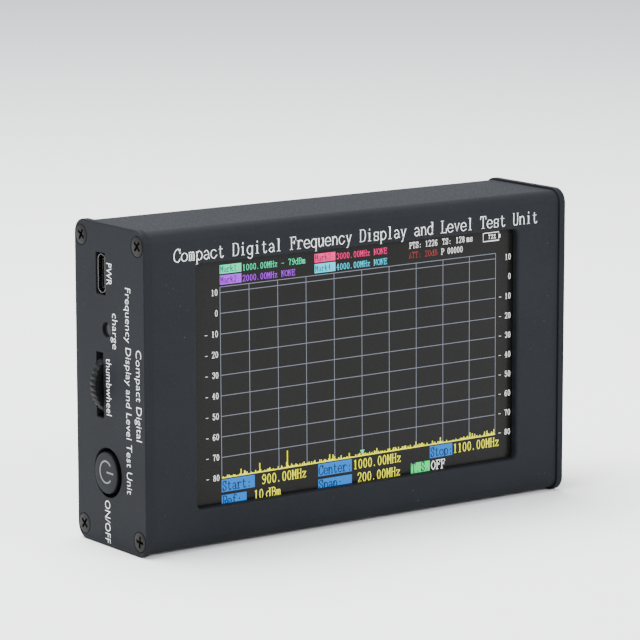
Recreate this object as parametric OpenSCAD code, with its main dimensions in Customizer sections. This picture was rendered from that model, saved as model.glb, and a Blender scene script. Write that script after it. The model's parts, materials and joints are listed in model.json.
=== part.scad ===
// Handheld spectrum analyzer: an aluminium tube with a screen window, closed by two
// end plates. The left plate has the charging port, a charge light, a track wheel and
// a power button; the right plate has two coaxial jacks. Inside are the display, the
// circuit board, the shielded radio parts and a flat battery.
// Frame: the origin is the middle of the plane that it stands on. +X points to the
// coaxial jacks, -Y is the screen side and +Z is up. All lengths are millimetres.

/* [Case] */
// Length over both end plates
case_length = 120; // [118:1:130]
// Height of the end plates
case_height = 74; // [74:0.5:78]
// Depth of the end plates
case_depth = 29; // [29:0.5:32]
// Thickness of each end plate
plate_thickness = 1.8; // [1.6:0.1:2]
// How far the end plates stand proud of the tube, all round
plate_proud = 0.5; // [0.3:0.1:0.7]
// Corner radius of the end plates
plate_corner_r = 3.5; // [2.5:0.5:4]
// Corner radius of the tube
tube_corner_r = 3; // [2:0.5:3.5]
// Wall of the tube at its top, bottom and back
tube_wall = 1.6; // [1.4:0.1:1.8]
// Wall of the tube at the screen side
front_wall = 1.8; // [1.6:0.1:2]
// Screw centres, in from the plate's edges in depth
screw_inset_y = 2.8; // [2.7:0.1:3]
// Screw centres, in from the plate's edges in height
screw_inset_z = 3.6; // [3.4:0.1:3.8]

/* [Screen] */
// Width of the window in the tube
window_w = 91.6; // [88:0.2:92]
// Height of the window in the tube
window_h = 55.8; // [52:0.2:56]
// Height of the window's middle above the standing plane
window_z = 37.5; // [37:0.1:38]
// Corner radius of the window
window_corner_r = 1.2; // [0.8:0.1:2]
// Width of the display module
lcd_w = 104; // [102:1:106]
// Height of the display module
lcd_h = 61.5; // [60:0.5:62]

/* [Controls on the left plate] */
// Height of the charging port's middle
usb_z = 62.5; // [61:0.5:64]
// Depth position of the charging port's middle
usb_y = 3.5; // [3.4:0.1:3.7]
// Height of the charge light
light_z = 50; // [49:0.5:51]
// Depth position of the charge light
light_y = 1.25; // [1:0.05:1.5]
// Height of the track wheel's axle
wheel_z = 37; // [36.5:0.5:37.5]
// Depth position of the track wheel's middle
wheel_y = 4.25; // [4.15:0.05:4.5]
// Radius of the track wheel
wheel_r = 8; // [7.6:0.1:8]
// Thickness of the track wheel
wheel_thickness = 2.3; // [2:0.1:2.3]
// How far the track wheel stands out of the plate
wheel_stick_out = 2.1; // [1.8:0.1:2.3]
// Grooves round the track wheel
wheel_grooves = 36; // [24:1:40]
// How far the track wheel can be pushed in
wheel_push = 0.5; // [0.3:0.1:0.5]
// Height of the power button's middle
button_z = 17.2; // [17:0.1:17.5]
// Depth position of the power button's middle
button_y = 1.26; // [1.1:0.02:1.4]
// Radius of the power button's cap
button_r = 4.85; // [4.5:0.05:4.9]
// Radius of the hole round the power button
button_hole_r = 5.7; // [5.5:0.1:5.8]
// How far the power button stands out of the plate
button_stick_out = 0.6; // [0.4:0.1:0.9]
// Travel of the power button
button_travel = 1.2; // [0.8:0.1:1.2]

/* [Coaxial jacks] */
// Heights of the two jacks: input, output
jack_z = [19, 55];
// Radius over the jack's thread (1/4-36)
jack_thread_r = 3.175; // [3.1:0.025:3.2]
// How far each jack stands out of the right plate
jack_stick_out = 7.6; // [7:0.1:8]

/* [Battery] */
// Length of the battery cell
battery_l = 75; // [60:1:76]
// Width of the battery cell
battery_w = 45; // [35:1:46]
// Thickness of the battery cell
battery_t = 5; // [4:0.5:5.5]

/* [Hidden] */
$fn = 48;
eps = 0.01;        // overlap that keeps a cut clean
running_gap = 0.05; // radial clearance of the wheel on its axle

// Case, worked out
plate_x = case_length / 2;                 // outer face of a plate
plate_inner_x = plate_x - plate_thickness; // inner face of a plate
mid_z = case_height / 2;
tube_l = case_length - 2 * plate_thickness;
tube_h = case_height - 2 * plate_proud;
tube_d = case_depth - 2 * plate_proud;
front_y = -tube_d / 2;                     // front face of the tube
inner_front_y = front_y + front_wall;
inner_back_y = tube_d / 2 - tube_wall;
inner_low_z = plate_proud + tube_wall;
inner_high_z = case_height - inner_low_z;
cavity_corner_r = tube_corner_r - tube_wall;
screw_y = case_depth / 2 - screw_inset_y;
screw_dz = case_height / 2 - screw_inset_z;

// Countersunk M2.5 screws and their channels
screw_r = 1.25;
screw_l = 6;
screw_head_r = 2.3;
screw_head_h = 1.05;
screw_sink = 0.05;       // the head sits this far below the plate's face
screw_slot = [2.7, 0.62, 0.8]; // cross recess: length, width, depth
plate_hole_r = 1.4;
channel_hole_r = 1.3;
channel_r = 2.2;

// Display stack, from the front wall backwards
gasket_t = 0.3;
glass_t = 1.2;
backlight_t = 1.5;
frame_t = 0.3;
view_h = 56.16;          // height of the lit area
glass_y = inner_front_y + gasket_t;        // front of the glass
backlight_y = glass_y + glass_t;
frame_y = backlight_y + backlight_t;       // sheet behind the backlight
lcd_back_y = frame_y + frame_t;
lcd_low_z = window_z - view_h / 2 - 3;     // lower edge of the module
lcd_mid_z = lcd_low_z + lcd_h / 2;

// Circuit board
board_t = 1.6;
board_back_y = usb_y - 1.63;               // the port's shell rests on this face
board_front_y = board_back_y - board_t;
board_x = [-57, 53.2];
board_gap = 0.1;                           // play in the case's rails
board_z = [inner_low_z + 0.3, inner_high_z - 0.3];
rail_w = 1;
rail_h = 1.5;

// Charging port (USB-C receptacle)
usb_shell_w = 8.94;
usb_shell_t = 3.26;
usb_shell_wall = 0.3;
usb_shell_l = 7.3;
usb_recess = 0.3;
usb_cutout = [3.9, 9.5];
usb_tongue = [5.6, 0.7, 6.69];             // length, thickness, width
usb_contact_pitch = 0.5;

// Charge light
light_hole_r = 1.7;
light_recess = 0.6;

// Track wheel and its carriage
wheel_x = -plate_x - wheel_stick_out + wheel_r;
wheel_groove_r = 0.34;
wheel_slot = [2.9, 15];
axle_r = 1;
base_t = 0.5;
carriage_t = 0.5;
carriage_y = board_back_y + base_t + 0.05;
base_x = [-57.4, -43];
base_half_h = 7;
base_wall_x = -45;                         // front of the base's rear wall
carriage_x = [-56.4, -46.4];
carriage_half_h = 6;
contact_l = 0.5;
carriage_tongue_w = 3;
// The tongue ends just short of the push contact at full travel
carriage_tongue_x = base_wall_x - contact_l - wheel_push - 0.05;
carriage_spring_r = 0.45;
carriage_spring_wire_r = 0.1;
carriage_spring_dz = 4.2;

// Power button and its switch
button_l = 5.2;
button_wall = 1;
switch_size = [10, 8.5, 8.5];
switch_x = -52.5;                          // front of the switch's housing
plunger_w = 3;
plunger_gap = 0.1;
plunger_x = [-57.6, -47.5];
switch_bore_end_x = plunger_x[1] + button_travel + 2.3; // room for the pressed spring
switch_spring_r = 1.1;
switch_spring_wire_r = 0.16;

// Coaxial jacks
jack_contact_r = 0.64;
jack_y = board_back_y + jack_contact_r;
jack_body_x = [53.4, 57.9];
jack_body_w = 7.6;
jack_leg_l = 4;
jack_leg_w = 1.6;
jack_leg_t = 1.4;
jack_root_r = 2.8;                         // the thread's root, under the nut
jack_bore_r = 2.08;
jack_mouth_r = 2.35;
jack_mouth_depth = 1.9;
jack_insulator_r = 2.05;
jack_hole_r = 3.3;
jack_tip_x = plate_x + jack_stick_out;
washer_t = 0.6;
washer_r = 5;
nut_t = 2.2;
nut_flats = 8;
nut_bore_r = 2.85;

// Battery, its lead and its plug, in front of the board
tape_t = 0.37;
battery_x = -36;
battery_z = 17;
battery_y = board_front_y - tape_t - battery_t;
battery_corner_r = 2;
guard_board = [3.8, 1.2, 41];
guard_gap = 0.2;
guard_x = battery_x - guard_gap - guard_board[0];
guard_y = battery_y + battery_t / 2 - guard_board[1] / 2;
socket_x = [-52, -47];
socket_z = [26, 36];
socket_t = 4.4;
plug_x = [-48.6, -44.6];
plug_t = 3;
lead_r = 0.55;
lead_y = board_front_y - socket_t / 2;
guard_mid_y = battery_y + battery_t / 2;
// Each lead runs from the plug up beside the battery and into the guard board
red_lead = [
    [plug_x[1], lead_y, 30], [-43.4, lead_y, 30], [-42.4, lead_y, 30.5], [-41.7, lead_y, 31.6],
    [-41.4, lead_y, 33.2], [-41.4, lead_y, 38], [-41.4, guard_mid_y, 43], [-41.4, guard_mid_y, 47],
    [-41.3, guard_mid_y, 49.2], [-40.8, guard_mid_y, 50], [guard_x, guard_mid_y, 50]
];
black_lead = [
    [plug_x[1], lead_y, 33], [-43.9, lead_y, 33], [-43.3, lead_y, 33.7], [-43, lead_y, 35.2],
    [-43, lead_y, 39], [-43, guard_mid_y, 44], [-43, guard_mid_y, 49], [-42.8, guard_mid_y, 51.4],
    [-42.2, guard_mid_y, 52.5], [-41.2, guard_mid_y, 53], [guard_x, guard_mid_y, 53]
];

// Ribbon between the display and the board
flex_w = 20;
flex_t = 0.2;
flex_r = 1.5;
flex_low_z = lcd_low_z - 0.35;
flex_board_y = board_front_y - 0.97;
flex_connector = [26, 1.9, 4.4];
flex_connector_z = 8.6;

// Shield cans over the radio parts
can_size = [40, 3, 26];
can_wall = 0.2;
can_x = 8.5;

pad_size = [6, 8];                         // foam pads: width and height
pad_places = [[-50, 57], [42, 57], [42, 8], [-40, 6.5]]; // lower left corners, as (X, Z)

// Colours
graphite = [0.16, 0.165, 0.175];
plate_graphite = [0.18, 0.19, 0.205];
matte_black = [0.05, 0.05, 0.055];
screen_black = [0.1, 0.1, 0.11];
nickel = [0.7, 0.7, 0.68];
gold = [0.8, 0.62, 0.25];
board_green = [0.05, 0.22, 0.14];
foil = [0.62, 0.64, 0.67];
foam = [0.12, 0.12, 0.12];
cream = [0.9, 0.88, 0.8];
amber = [0.75, 0.5, 0.15];

// ---- Helpers ----

// Extrudes an outline drawn in (Y, Z) along +X, from x0
module along_x(x0, length) {
    translate([x0, 0, 0]) rotate([90, 0, 90]) linear_extrude(length) children();
}

// Extrudes an outline drawn in (X, Z) along +Y, from y0
module along_y(y0, depth) {
    translate([0, y0 + depth, 0]) rotate([90, 0, 0]) linear_extrude(depth) children();
}

module rounded_rect(w, h, r) {
    square([w - 2 * r, h], center = true);
    square([w, h - 2 * r], center = true);
    for (i = [-1, 1], j = [-1, 1])
        translate([i * (w / 2 - r), j * (h / 2 - r)]) circle(r);
}

// Box between two X values, two Y values and two Z values
module block(x, y, z) {
    translate([x[0], y[0], z[0]]) cube([x[1] - x[0], y[1] - y[0], z[1] - z[0]]);
}

// Cylinder along X, or a cone where the two radii differ
module rod_x(x0, x1, y, z, r, r_end = -1) {
    translate([x0, y, z]) rotate([0, 90, 0])
        cylinder(h = x1 - x0, r1 = r, r2 = r_end < 0 ? r : r_end);
}

module rod_y(y0, y1, x, z, r) {
    translate([x, y1, z]) rotate([90, 0, 0]) cylinder(h = y1 - y0, r = r);
}

// Four places at the plate's corners, as (Y, Z)
module at_screws() {
    for (i = [-1, 1], j = [-1, 1])
        translate([0, i * screw_y, mid_z + j * screw_dz]) children();
}

// Round tube swept along a path; ref is a direction that the path never follows
function unit(v) = v / norm(v);
function tangent(p, i) = unit(p[min(i + 1, len(p) - 1)] - p[max(i - 1, 0)]);
function ring(p, i, r, sides, ref) =
    let (t = tangent(p, i), n = unit(cross(t, ref)), b = cross(t, n))
    [for (k = [0 : sides - 1]) p[i] + r * (cos(360 * k / sides) * n + sin(360 * k / sides) * b)];
module swept_tube(path, r, sides, ref) {
    last = (len(path) - 1) * sides;
    polyhedron(
        points = [for (i = [0 : len(path) - 1]) each ring(path, i, r, sides, ref)],
        faces = concat(
            [[for (k = [0 : sides - 1]) k]],
            [for (i = [0 : len(path) - 2], k = [0 : sides - 1], half = [0, 1]) half == 0
                ? [i * sides + k, (i + 1) * sides + k, (i + 1) * sides + (k + 1) % sides]
                : [i * sides + k, (i + 1) * sides + (k + 1) % sides, i * sides + (k + 1) % sides]],
            [[for (k = [sides - 1 : -1 : 0]) last + k]]
        )
    );
}

// Coil spring along X, from x0 to x1, round the line at (y, z)
coil_steps = 14;
module coil_spring(x0, x1, y, z, r, wire_r, turns) {
    steps = turns * coil_steps;
    free = x1 - x0 - 2 * wire_r;
    swept_tube(
        [for (i = [0 : steps]) [
            x0 + wire_r + free * i / steps,
            y + r * cos(360 * i / coil_steps),
            z + r * sin(360 * i / coil_steps)
        ]],
        wire_r, 6, [1, 0, 0]
    );
}

// ---- Case ----

module tube_profile() {
    difference() {
        union() {
            difference() {
                translate([0, mid_z]) rounded_rect(tube_d, tube_h, tube_corner_r);
                translate([(inner_front_y + inner_back_y) / 2, mid_z])
                    rounded_rect(inner_back_y - inner_front_y, inner_high_z - inner_low_z, cavity_corner_r);
            }
            // Screw channels in the corners
            for (i = [-1, 1], j = [-1, 1]) translate([i * screw_y, mid_z + j * screw_dz]) {
                circle(channel_r);
                translate([i * channel_r / 2, 0]) square([channel_r * 0.9, 2 * channel_r], center = true);
                translate([0, j * channel_r / 2]) square([2 * channel_r, channel_r * 0.9], center = true);
            }
            // Rails that hold the board by its top and bottom edges
            for (y = [board_front_y - board_gap - rail_w, board_back_y + board_gap]) {
                translate([y, inner_low_z - eps]) square([rail_w, rail_h]);
                translate([y, inner_high_z - rail_h + eps]) square([rail_w, rail_h]);
            }
        }
        for (i = [-1, 1], j = [-1, 1])
            translate([i * screw_y, mid_z + j * screw_dz]) circle(channel_hole_r);
    }
}

module enclosure_shell() {
    color(graphite) difference() {
        along_x(-tube_l / 2, tube_l) tube_profile();
        along_y(front_y - 1, front_wall + 1 + eps)
            translate([0, window_z]) rounded_rect(window_w, window_h, window_corner_r);
    }
}

// One end plate with its four countersunk holes; side is -1 for left and 1 for right
module plate_blank(side) {
    outer_x = side * plate_x;
    difference() {
        along_x(side < 0 ? -plate_x : plate_inner_x, plate_thickness)
            translate([0, mid_z]) rounded_rect(case_depth, case_height, plate_corner_r);
        at_screws() {
            rod_x(min(outer_x, outer_x - 3 * side), max(outer_x, outer_x - 3 * side), 0, 0, plate_hole_r);
            translate([outer_x + side * eps, 0, 0]) rotate([0, -90 * side, 0])
                cylinder(h = screw_head_h + 0.1, r1 = screw_head_r + 0.12, r2 = screw_r + 0.07);
        }
    }
}

module end_plate_left() {
    cut_x = -plate_x - 1;
    cut_l = plate_thickness + 2;
    color(plate_graphite) difference() {
        plate_blank(-1);
        along_x(cut_x, cut_l) translate([usb_y, usb_z]) square(usb_cutout, center = true);
        along_x(cut_x, cut_l) translate([wheel_y, wheel_z]) square(wheel_slot, center = true);
        rod_x(cut_x, cut_x + cut_l, light_y, light_z, light_hole_r);
        rod_x(cut_x, cut_x + cut_l, button_y, button_z, button_hole_r);
    }
}

module end_plate_right() {
    color(plate_graphite) difference() {
        plate_blank(1);
        for (z = jack_z) rod_x(plate_inner_x - 1, plate_x + 1, jack_y, z, jack_hole_r);
    }
}

module plate_screws(side) {
    color(matte_black) at_screws()
        translate([side * (plate_x - screw_sink), 0, 0]) rotate([0, -90 * side, 0]) difference() {
            union() {
                cylinder(h = screw_head_h, r1 = screw_head_r, r2 = screw_r);
                cylinder(h = screw_l, r = screw_r);
            }
            for (a = [45, 135]) rotate([0, 0, a])
                translate([-screw_slot[0] / 2, -screw_slot[1] / 2, -eps])
                    cube([screw_slot[0], screw_slot[1], screw_slot[2]]);
        }
}

module left_plate_screws() { plate_screws(-1); }
module right_plate_screws() { plate_screws(1); }

// ---- Display ----

module display_gasket() {
    color(foam) along_y(inner_front_y, gasket_t) difference() {
        translate([0, lcd_mid_z]) square([lcd_w, lcd_h], center = true);
        translate([0, window_z]) square([window_w + 1.6, window_h + 1.4], center = true);
    }
}

module lcd_glass() {
    color(screen_black)
        block([-lcd_w / 2 + 0.6, lcd_w / 2 - 0.6], [glass_y, backlight_y],
              [lcd_low_z + 0.6, lcd_low_z + lcd_h - 0.6]);
}

module lcd_backlight() {
    color("white")
        block([-lcd_w / 2 + 1, lcd_w / 2 - 1], [backlight_y, frame_y],
              [lcd_low_z + 2.4, lcd_low_z + lcd_h - 1]);
}

// Steel tray: a back sheet with four low walls, open at the bottom for the ribbon
module lcd_frame() {
    wall_h = glass_t + backlight_t - 0.3;
    color(nickel) difference() {
        block([-lcd_w / 2, lcd_w / 2], [lcd_back_y - frame_t - wall_h, lcd_back_y],
              [lcd_low_z, lcd_low_z + lcd_h]);
        block([-lcd_w / 2 + frame_t, lcd_w / 2 - frame_t], [glass_y - 1, frame_y],
              [lcd_low_z + frame_t, lcd_low_z + lcd_h - frame_t]);
        block([-flex_w / 2 - 1, flex_w / 2 + 1], [glass_y - 1, lcd_back_y + 1],
              [lcd_low_z - 1, lcd_low_z + 1.8]);
    }
}

// Half the ribbon's thickness to each side of a line of points in (Y, Z)
function side_of(p, i, d) =
    let (t = tangent(p, i)) [p[i][0] - d * t[1], p[i][1] + d * t[0]];
function arc(cy, cz, r, a0, a1, n = 8) =
    [for (i = [0 : n]) let (a = a0 + (a1 - a0) * i / n) [cy + r * cos(a), cz + r * sin(a)]];

module lcd_flex() {
    first_y = backlight_y + flex_t;
    first_r = 0.5;
    path = concat(
        [[first_y, lcd_low_z + 1.6]],
        arc(first_y + first_r, flex_low_z + first_r, first_r, 180, 270),
        arc(flex_board_y - flex_r, flex_low_z + flex_r, flex_r, -90, 0),
        [[flex_board_y, flex_connector_z + 1.5]]
    );
    color(amber) translate([-flex_w / 2, 0, 0]) along_x(0, flex_w)
        polygon(concat(
            [for (i = [0 : len(path) - 1]) side_of(path, i, flex_t / 2)],
            [for (i = [len(path) - 1 : -1 : 0]) side_of(path, i, -flex_t / 2)]
        ));
}

module flex_connector() {
    slot_t = flex_t + 0.1;
    color(cream) difference() {
        block([-flex_connector[0] / 2, flex_connector[0] / 2],
              [board_front_y - flex_connector[1], board_front_y],
              [flex_connector_z, flex_connector_z + flex_connector[2]]);
        block([-flex_w / 2 - 0.2, flex_w / 2 + 0.2], [flex_board_y - slot_t / 2, flex_board_y + slot_t / 2],
              [flex_connector_z - 1, flex_connector_z + 2]);
    }
}

module foam_pads() {
    color(foam) for (p = pad_places)
        block([p[0], p[0] + pad_size[0]], [lcd_back_y, board_front_y], [p[1], p[1] + pad_size[1]]);
}

// ---- Board and what is soldered to it ----

module main_board() {
    // The notch is wide at its mouth for the button's cap and narrow for the switch
    mouth_h = 2 * button_hole_r;
    notch_h = switch_size[2] + 0.4;
    mouth_end_x = switch_x - 0.4;
    notch_end_x = switch_x + switch_size[0] + 0.2;
    color(board_green) along_y(board_front_y, board_t) difference() {
        translate([board_x[0], board_z[0]]) square([board_x[1] - board_x[0], board_z[1] - board_z[0]]);
        translate([board_x[0] - 1, button_z - mouth_h / 2]) square([mouth_end_x - board_x[0] + 1, mouth_h]);
        translate([board_x[0] - 1, button_z - notch_h / 2]) square([notch_end_x - board_x[0] + 1, notch_h]);
    }
}

// A flat package on the board's back; leads is the number along each side
module chip(x, z, w, h, t, leads = 0) {
    lead_w = 0.25;
    lead_t = 0.15;
    block([x - w / 2, x + w / 2], [board_back_y + (leads > 0 ? lead_t / 2 : 0), board_back_y + t],
          [z - h / 2, z + h / 2]);
    if (leads > 0) for (s = [-1, 1], k = [0 : leads - 1]) {
        step = (w - 1.2) / (leads - 1) * (k - (leads - 1) / 2);
        translate([x + step, board_back_y + lead_t / 2, z + s * (h / 2 + 0.35)])
            cube([lead_w, lead_t, 1.1], center = true);
        translate([x + s * (w / 2 + 0.35), board_back_y + lead_t / 2, z + step])
            cube([1.1, lead_t, lead_w], center = true);
    }
}

module processor_chip() { color(matte_black) chip(-20, 46, 10, 10, 1.4, 12); }
module memory_chip() { color(matte_black) chip(-20, 30, 5, 4, 1.1); }
module charger_chip() { color(matte_black) chip(-42, 62, 4, 4, 0.9); }
module synthesizer_chips() { color(matte_black) for (z = jack_z) chip(18, z, 5, 5, 0.9); }
module mixer_chips() { color(matte_black) for (z = jack_z, x = [28, 36]) chip(x, z + 4, 3, 3, 0.8); }
module reference_oscillator() { color(nickel) chip(-4, 37, 5, 3.2, 1.2); }

module power_inductors() {
    color([0.25, 0.25, 0.26]) for (z = [52, 58]) difference() {
        chip(-34, z, 5, 5, 2.4);
        rod_y(board_back_y + 1.9, board_back_y + 3, -34, z, 1.6);
    }
}

module board_capacitors() {
    color(foil) for (z = [10, 18]) {
        chip(-30, z, 5.3, 5.3, 0.8);
        rod_y(board_back_y + 0.8 - eps, board_back_y + 5.4, -30, z, 2.5);
    }
}

module chip_passives() {
    color([0.55, 0.45, 0.35]) {
        for (i = [0 : 5], j = [0, 1]) chip(-27 + 2.6 * i, 37 + 2 * j - 1, 1.6, 0.8, 0.45);
        for (z = jack_z, i = [0 : 3]) chip(16 + 6 * i, z - 7, 1.6, 0.8, 0.45);
        for (i = [0 : 3]) chip(-46 + 2.6 * i, 68, 1.6, 0.8, 0.45);
    }
}

module shield_can(mid) {
    color(foil) difference() {
        block([can_x, can_x + can_size[0]], [board_back_y, board_back_y + can_size[1]],
              [mid - can_size[2] / 2, mid + can_size[2] / 2]);
        block([can_x + can_wall, can_x + can_size[0] - can_wall],
              [board_back_y - 1, board_back_y + can_size[1] - can_wall],
              [mid - can_size[2] / 2 + can_wall, mid + can_size[2] / 2 - can_wall]);
        // Mouse hole for the jack's centre contact
        block([can_x + can_size[0] - 1, can_x + can_size[0] + 1], [board_back_y - 1, jack_y + 1],
              [mid - 1, mid + 1]);
    }
}

module input_shield_can() { shield_can(jack_z[0]); }
module output_shield_can() { shield_can(jack_z[1]); }

// ---- Charging port and light ----

module usb_shell() {
    x0 = -plate_x + usb_recess;
    color(nickel) translate([0, usb_y, usb_z]) difference() {
        along_x(x0, usb_shell_l) rounded_rect(usb_shell_t, usb_shell_w, 1.5);
        along_x(x0 - 1, usb_shell_l + 1 - usb_shell_wall)
            rounded_rect(usb_shell_t - 2 * usb_shell_wall, usb_shell_w - 2 * usb_shell_wall, 1.2);
    }
}

module usb_tongue() {
    back_x = -plate_x + usb_recess + usb_shell_l - usb_shell_wall;
    block_l = 1.4;
    color(matte_black) translate([0, usb_y, usb_z]) {
        along_x(back_x - block_l, block_l)
            rounded_rect(usb_shell_t - 2 * usb_shell_wall - 0.04,
                         usb_shell_w - 2 * usb_shell_wall - 0.04, 1.18);
        translate([back_x - block_l - usb_tongue[0] + 0.5, -usb_tongue[1] / 2, -usb_tongue[2] / 2])
            cube([usb_tongue[0], usb_tongue[1], usb_tongue[2]]);
    }
}

module usb_contacts() {
    contact = [3.2, 0.04, 0.26];
    x0 = -plate_x + usb_recess + 1;
    color(gold) for (s = [-1, 1], k = [0 : 11])
        translate([x0, usb_y + s * (usb_tongue[1] + contact[1]) / 2 - contact[1] / 2,
                   usb_z + usb_contact_pitch * (k - 5.5) - contact[2] / 2])
            cube(contact);
}

module charge_led() {
    color(cream) {
        block([-57, -55.4], [board_back_y, board_back_y + 0.9], [light_z - 0.8, light_z + 0.8]);
        rod_x(-57.15, -56.9, board_back_y + 0.45, light_z, 0.35);
    }
}

module charge_light_pipe() {
    color([0.75, 0.76, 0.78]) {
        rod_x(-plate_x + light_recess, -plate_inner_x + eps, light_y, light_z, light_hole_r - 0.1);
        rod_x(-plate_inner_x, -plate_inner_x + 0.9, light_y, light_z, light_hole_r + 0.7);
    }
}

// ---- Power button ----

module power_button_cap() {
    cap_x = -plate_x - button_stick_out;
    edge = 0.3;
    socket_w = plunger_w + 0.04;
    color(graphite) difference() {
        union() {
            rod_x(cap_x, cap_x + edge, button_y, button_z, button_r - edge, button_r);
            rod_x(cap_x + edge, cap_x + button_l, button_y, button_z, button_r);
        }
        difference() {
            rod_x(cap_x + button_wall, cap_x + button_l + 1, button_y, button_z, button_r - button_wall);
            rod_x(cap_x, cap_x + button_l - 1, button_y, button_z, 2.7);
        }
        block([plunger_x[0] - 0.05, cap_x + button_l + 1],
              [button_y - socket_w / 2, button_y + socket_w / 2],
              [button_z - socket_w / 2, button_z + socket_w / 2]);
    }
}

module power_switch_plunger() {
    color(cream) block(plunger_x, [button_y - plunger_w / 2, button_y + plunger_w / 2],
                       [button_z - plunger_w / 2, button_z + plunger_w / 2]);
}

module power_switch_body() {
    w = plunger_w + 2 * plunger_gap;
    color(matte_black) translate([0, button_y, button_z]) difference() {
        block([switch_x, switch_x + switch_size[0]], [-switch_size[1] / 2, switch_size[1] / 2],
              [-switch_size[2] / 2, switch_size[2] / 2]);
        block([switch_x - 1, switch_bore_end_x], [-w / 2, w / 2], [-w / 2, w / 2]);
    }
}

module power_switch_pins() {
    pin_l = 1.6;
    color(nickel) for (s = [-1, 1], x = [-50, -47, -44])
        translate([x, board_back_y + 0.125, button_z + s * (switch_size[2] / 2 + pin_l / 2)])
            cube([0.8, 0.25, pin_l], center = true);
}

module power_switch_spring() {
    color(nickel) coil_spring(plunger_x[1], switch_bore_end_x, button_y, button_z,
                              switch_spring_r, switch_spring_wire_r, 5);
}

// ---- Track wheel ----

module track_wheel() {
    y0 = wheel_y - wheel_thickness / 2;
    color(matte_black) along_y(y0, wheel_thickness) translate([wheel_x, wheel_z]) difference() {
        circle(wheel_r, $fn = 96);
        circle(axle_r + running_gap);
        for (k = [0 : wheel_grooves - 1]) rotate(360 * k / wheel_grooves)
            translate([wheel_r + 0.1, 0]) circle(wheel_groove_r, $fn = 16);
    }
}

module encoder_carriage() {
    color(cream) difference() {
        union() {
            block(carriage_x, [carriage_y, carriage_y + carriage_t],
                  [wheel_z - carriage_half_h, wheel_z + carriage_half_h]);
            block([carriage_x[1] - eps, carriage_tongue_x], [carriage_y, carriage_y + carriage_t],
                  [wheel_z - carriage_tongue_w / 2, wheel_z + carriage_tongue_w / 2]);
        }
        rod_y(carriage_y - 1, carriage_y + carriage_t + 1, wheel_x, wheel_z, axle_r + 0.01);
    }
}

module wheel_axle() {
    color(nickel) rod_y(carriage_y, wheel_y + wheel_thickness / 2 + 0.9, wheel_x, wheel_z, axle_r);
}

module axle_clip() {
    y0 = wheel_y + wheel_thickness / 2 + 0.15;
    color(nickel) difference() {
        rod_y(y0, y0 + 0.4, wheel_x, wheel_z, 2);
        rod_y(y0 - 1, y0 + 1, wheel_x, wheel_z, axle_r + 0.01);
    }
}

module encoder_base() {
    rim_w = 0.8;
    rim_top_y = carriage_y + carriage_t;
    color(matte_black) {
        block(base_x, [board_back_y, board_back_y + base_t],
              [wheel_z - base_half_h, wheel_z + base_half_h]);
        for (z = [wheel_z - base_half_h, wheel_z + base_half_h - rim_w])
            block(base_x, [board_back_y, rim_top_y], [z, z + rim_w]);
        block([base_wall_x, base_x[1]], [board_back_y, rim_top_y + 2.2],
              [wheel_z - base_half_h, wheel_z + base_half_h]);
    }
}

module encoder_push_contact() {
    color(nickel) rod_x(base_wall_x - contact_l, base_wall_x, carriage_y + carriage_t / 2, wheel_z, 0.25);
}

module carriage_springs() {
    color(nickel) for (s = [-1, 1])
        coil_spring(carriage_x[1], base_wall_x, carriage_y + carriage_spring_r + carriage_spring_wire_r,
                    wheel_z + s * carriage_spring_dz, carriage_spring_r, carriage_spring_wire_r, 4);
}

// ---- Coaxial jacks ----

module sma_body(z) {
    nut_face_x = plate_x + washer_t + nut_t;
    chamfer = 0.35;
    color(gold) translate([0, jack_y, z]) difference() {
        union() {
            block(jack_body_x, [-jack_body_w / 2, jack_body_w / 2], [-jack_body_w / 2, jack_body_w / 2]);
            rod_x(jack_body_x[1] - eps, nut_face_x, 0, 0, jack_root_r);
            rod_x(nut_face_x - eps, jack_tip_x - chamfer, 0, 0, jack_thread_r);
            rod_x(jack_tip_x - chamfer - eps, jack_tip_x, 0, 0, jack_thread_r, jack_thread_r - chamfer);
            // Legs that straddle the board's edge
            for (s = [-1, 1], y = [board_back_y - jack_y, board_front_y - jack_leg_t - jack_y])
                block([jack_body_x[0] - jack_leg_l, jack_body_x[0] + eps], [y, y + jack_leg_t],
                      [s * (jack_body_w - jack_leg_w) / 2 - jack_leg_w / 2,
                       s * (jack_body_w - jack_leg_w) / 2 + jack_leg_w / 2]);
        }
        rod_x(jack_body_x[0] - 1, jack_tip_x, 0, 0, jack_bore_r);
        rod_x(jack_tip_x - jack_mouth_depth, jack_tip_x + 1, 0, 0, jack_mouth_r);
    }
}

module sma_input_body() { sma_body(jack_z[0]); }
module sma_output_body() { sma_body(jack_z[1]); }

module sma_insulators() {
    color("white") for (z = jack_z) difference() {
        rod_x(jack_body_x[0], jack_tip_x - jack_mouth_depth, jack_y, z, jack_insulator_r);
        rod_x(jack_body_x[0] - 1, jack_tip_x + 1, jack_y, z, jack_contact_r + 0.02);
    }
}

module sma_contacts() {
    color(gold) for (z = jack_z) difference() {
        rod_x(50.5, jack_tip_x - jack_mouth_depth + 0.1, jack_y, z, jack_contact_r);
        rod_x(jack_tip_x - jack_mouth_depth - 2.6, jack_tip_x, jack_y, z, 0.46);
    }
}

module sma_washers() {
    teeth = 12;
    color(gold) for (z = jack_z) along_x(plate_x, washer_t) translate([jack_y, z]) difference() {
        circle(washer_r);
        circle(jack_hole_r);
        for (k = [0 : teeth - 1]) rotate(360 * k / teeth)
            translate([washer_r - 0.4, -0.3]) square([1, 0.6]);
    }
}

module sma_nuts() {
    color(gold) for (z = jack_z) along_x(plate_x + washer_t, nut_t) translate([jack_y, z]) difference() {
        circle(nut_flats / sqrt(3), $fn = 6);
        circle(nut_bore_r);
    }
}

// ---- Battery ----

module battery_cell() {
    color([0.55, 0.57, 0.6]) along_y(battery_y, battery_t)
        translate([battery_x + battery_l / 2, battery_z + battery_w / 2])
            rounded_rect(battery_l, battery_w, battery_corner_r);
}

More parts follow.
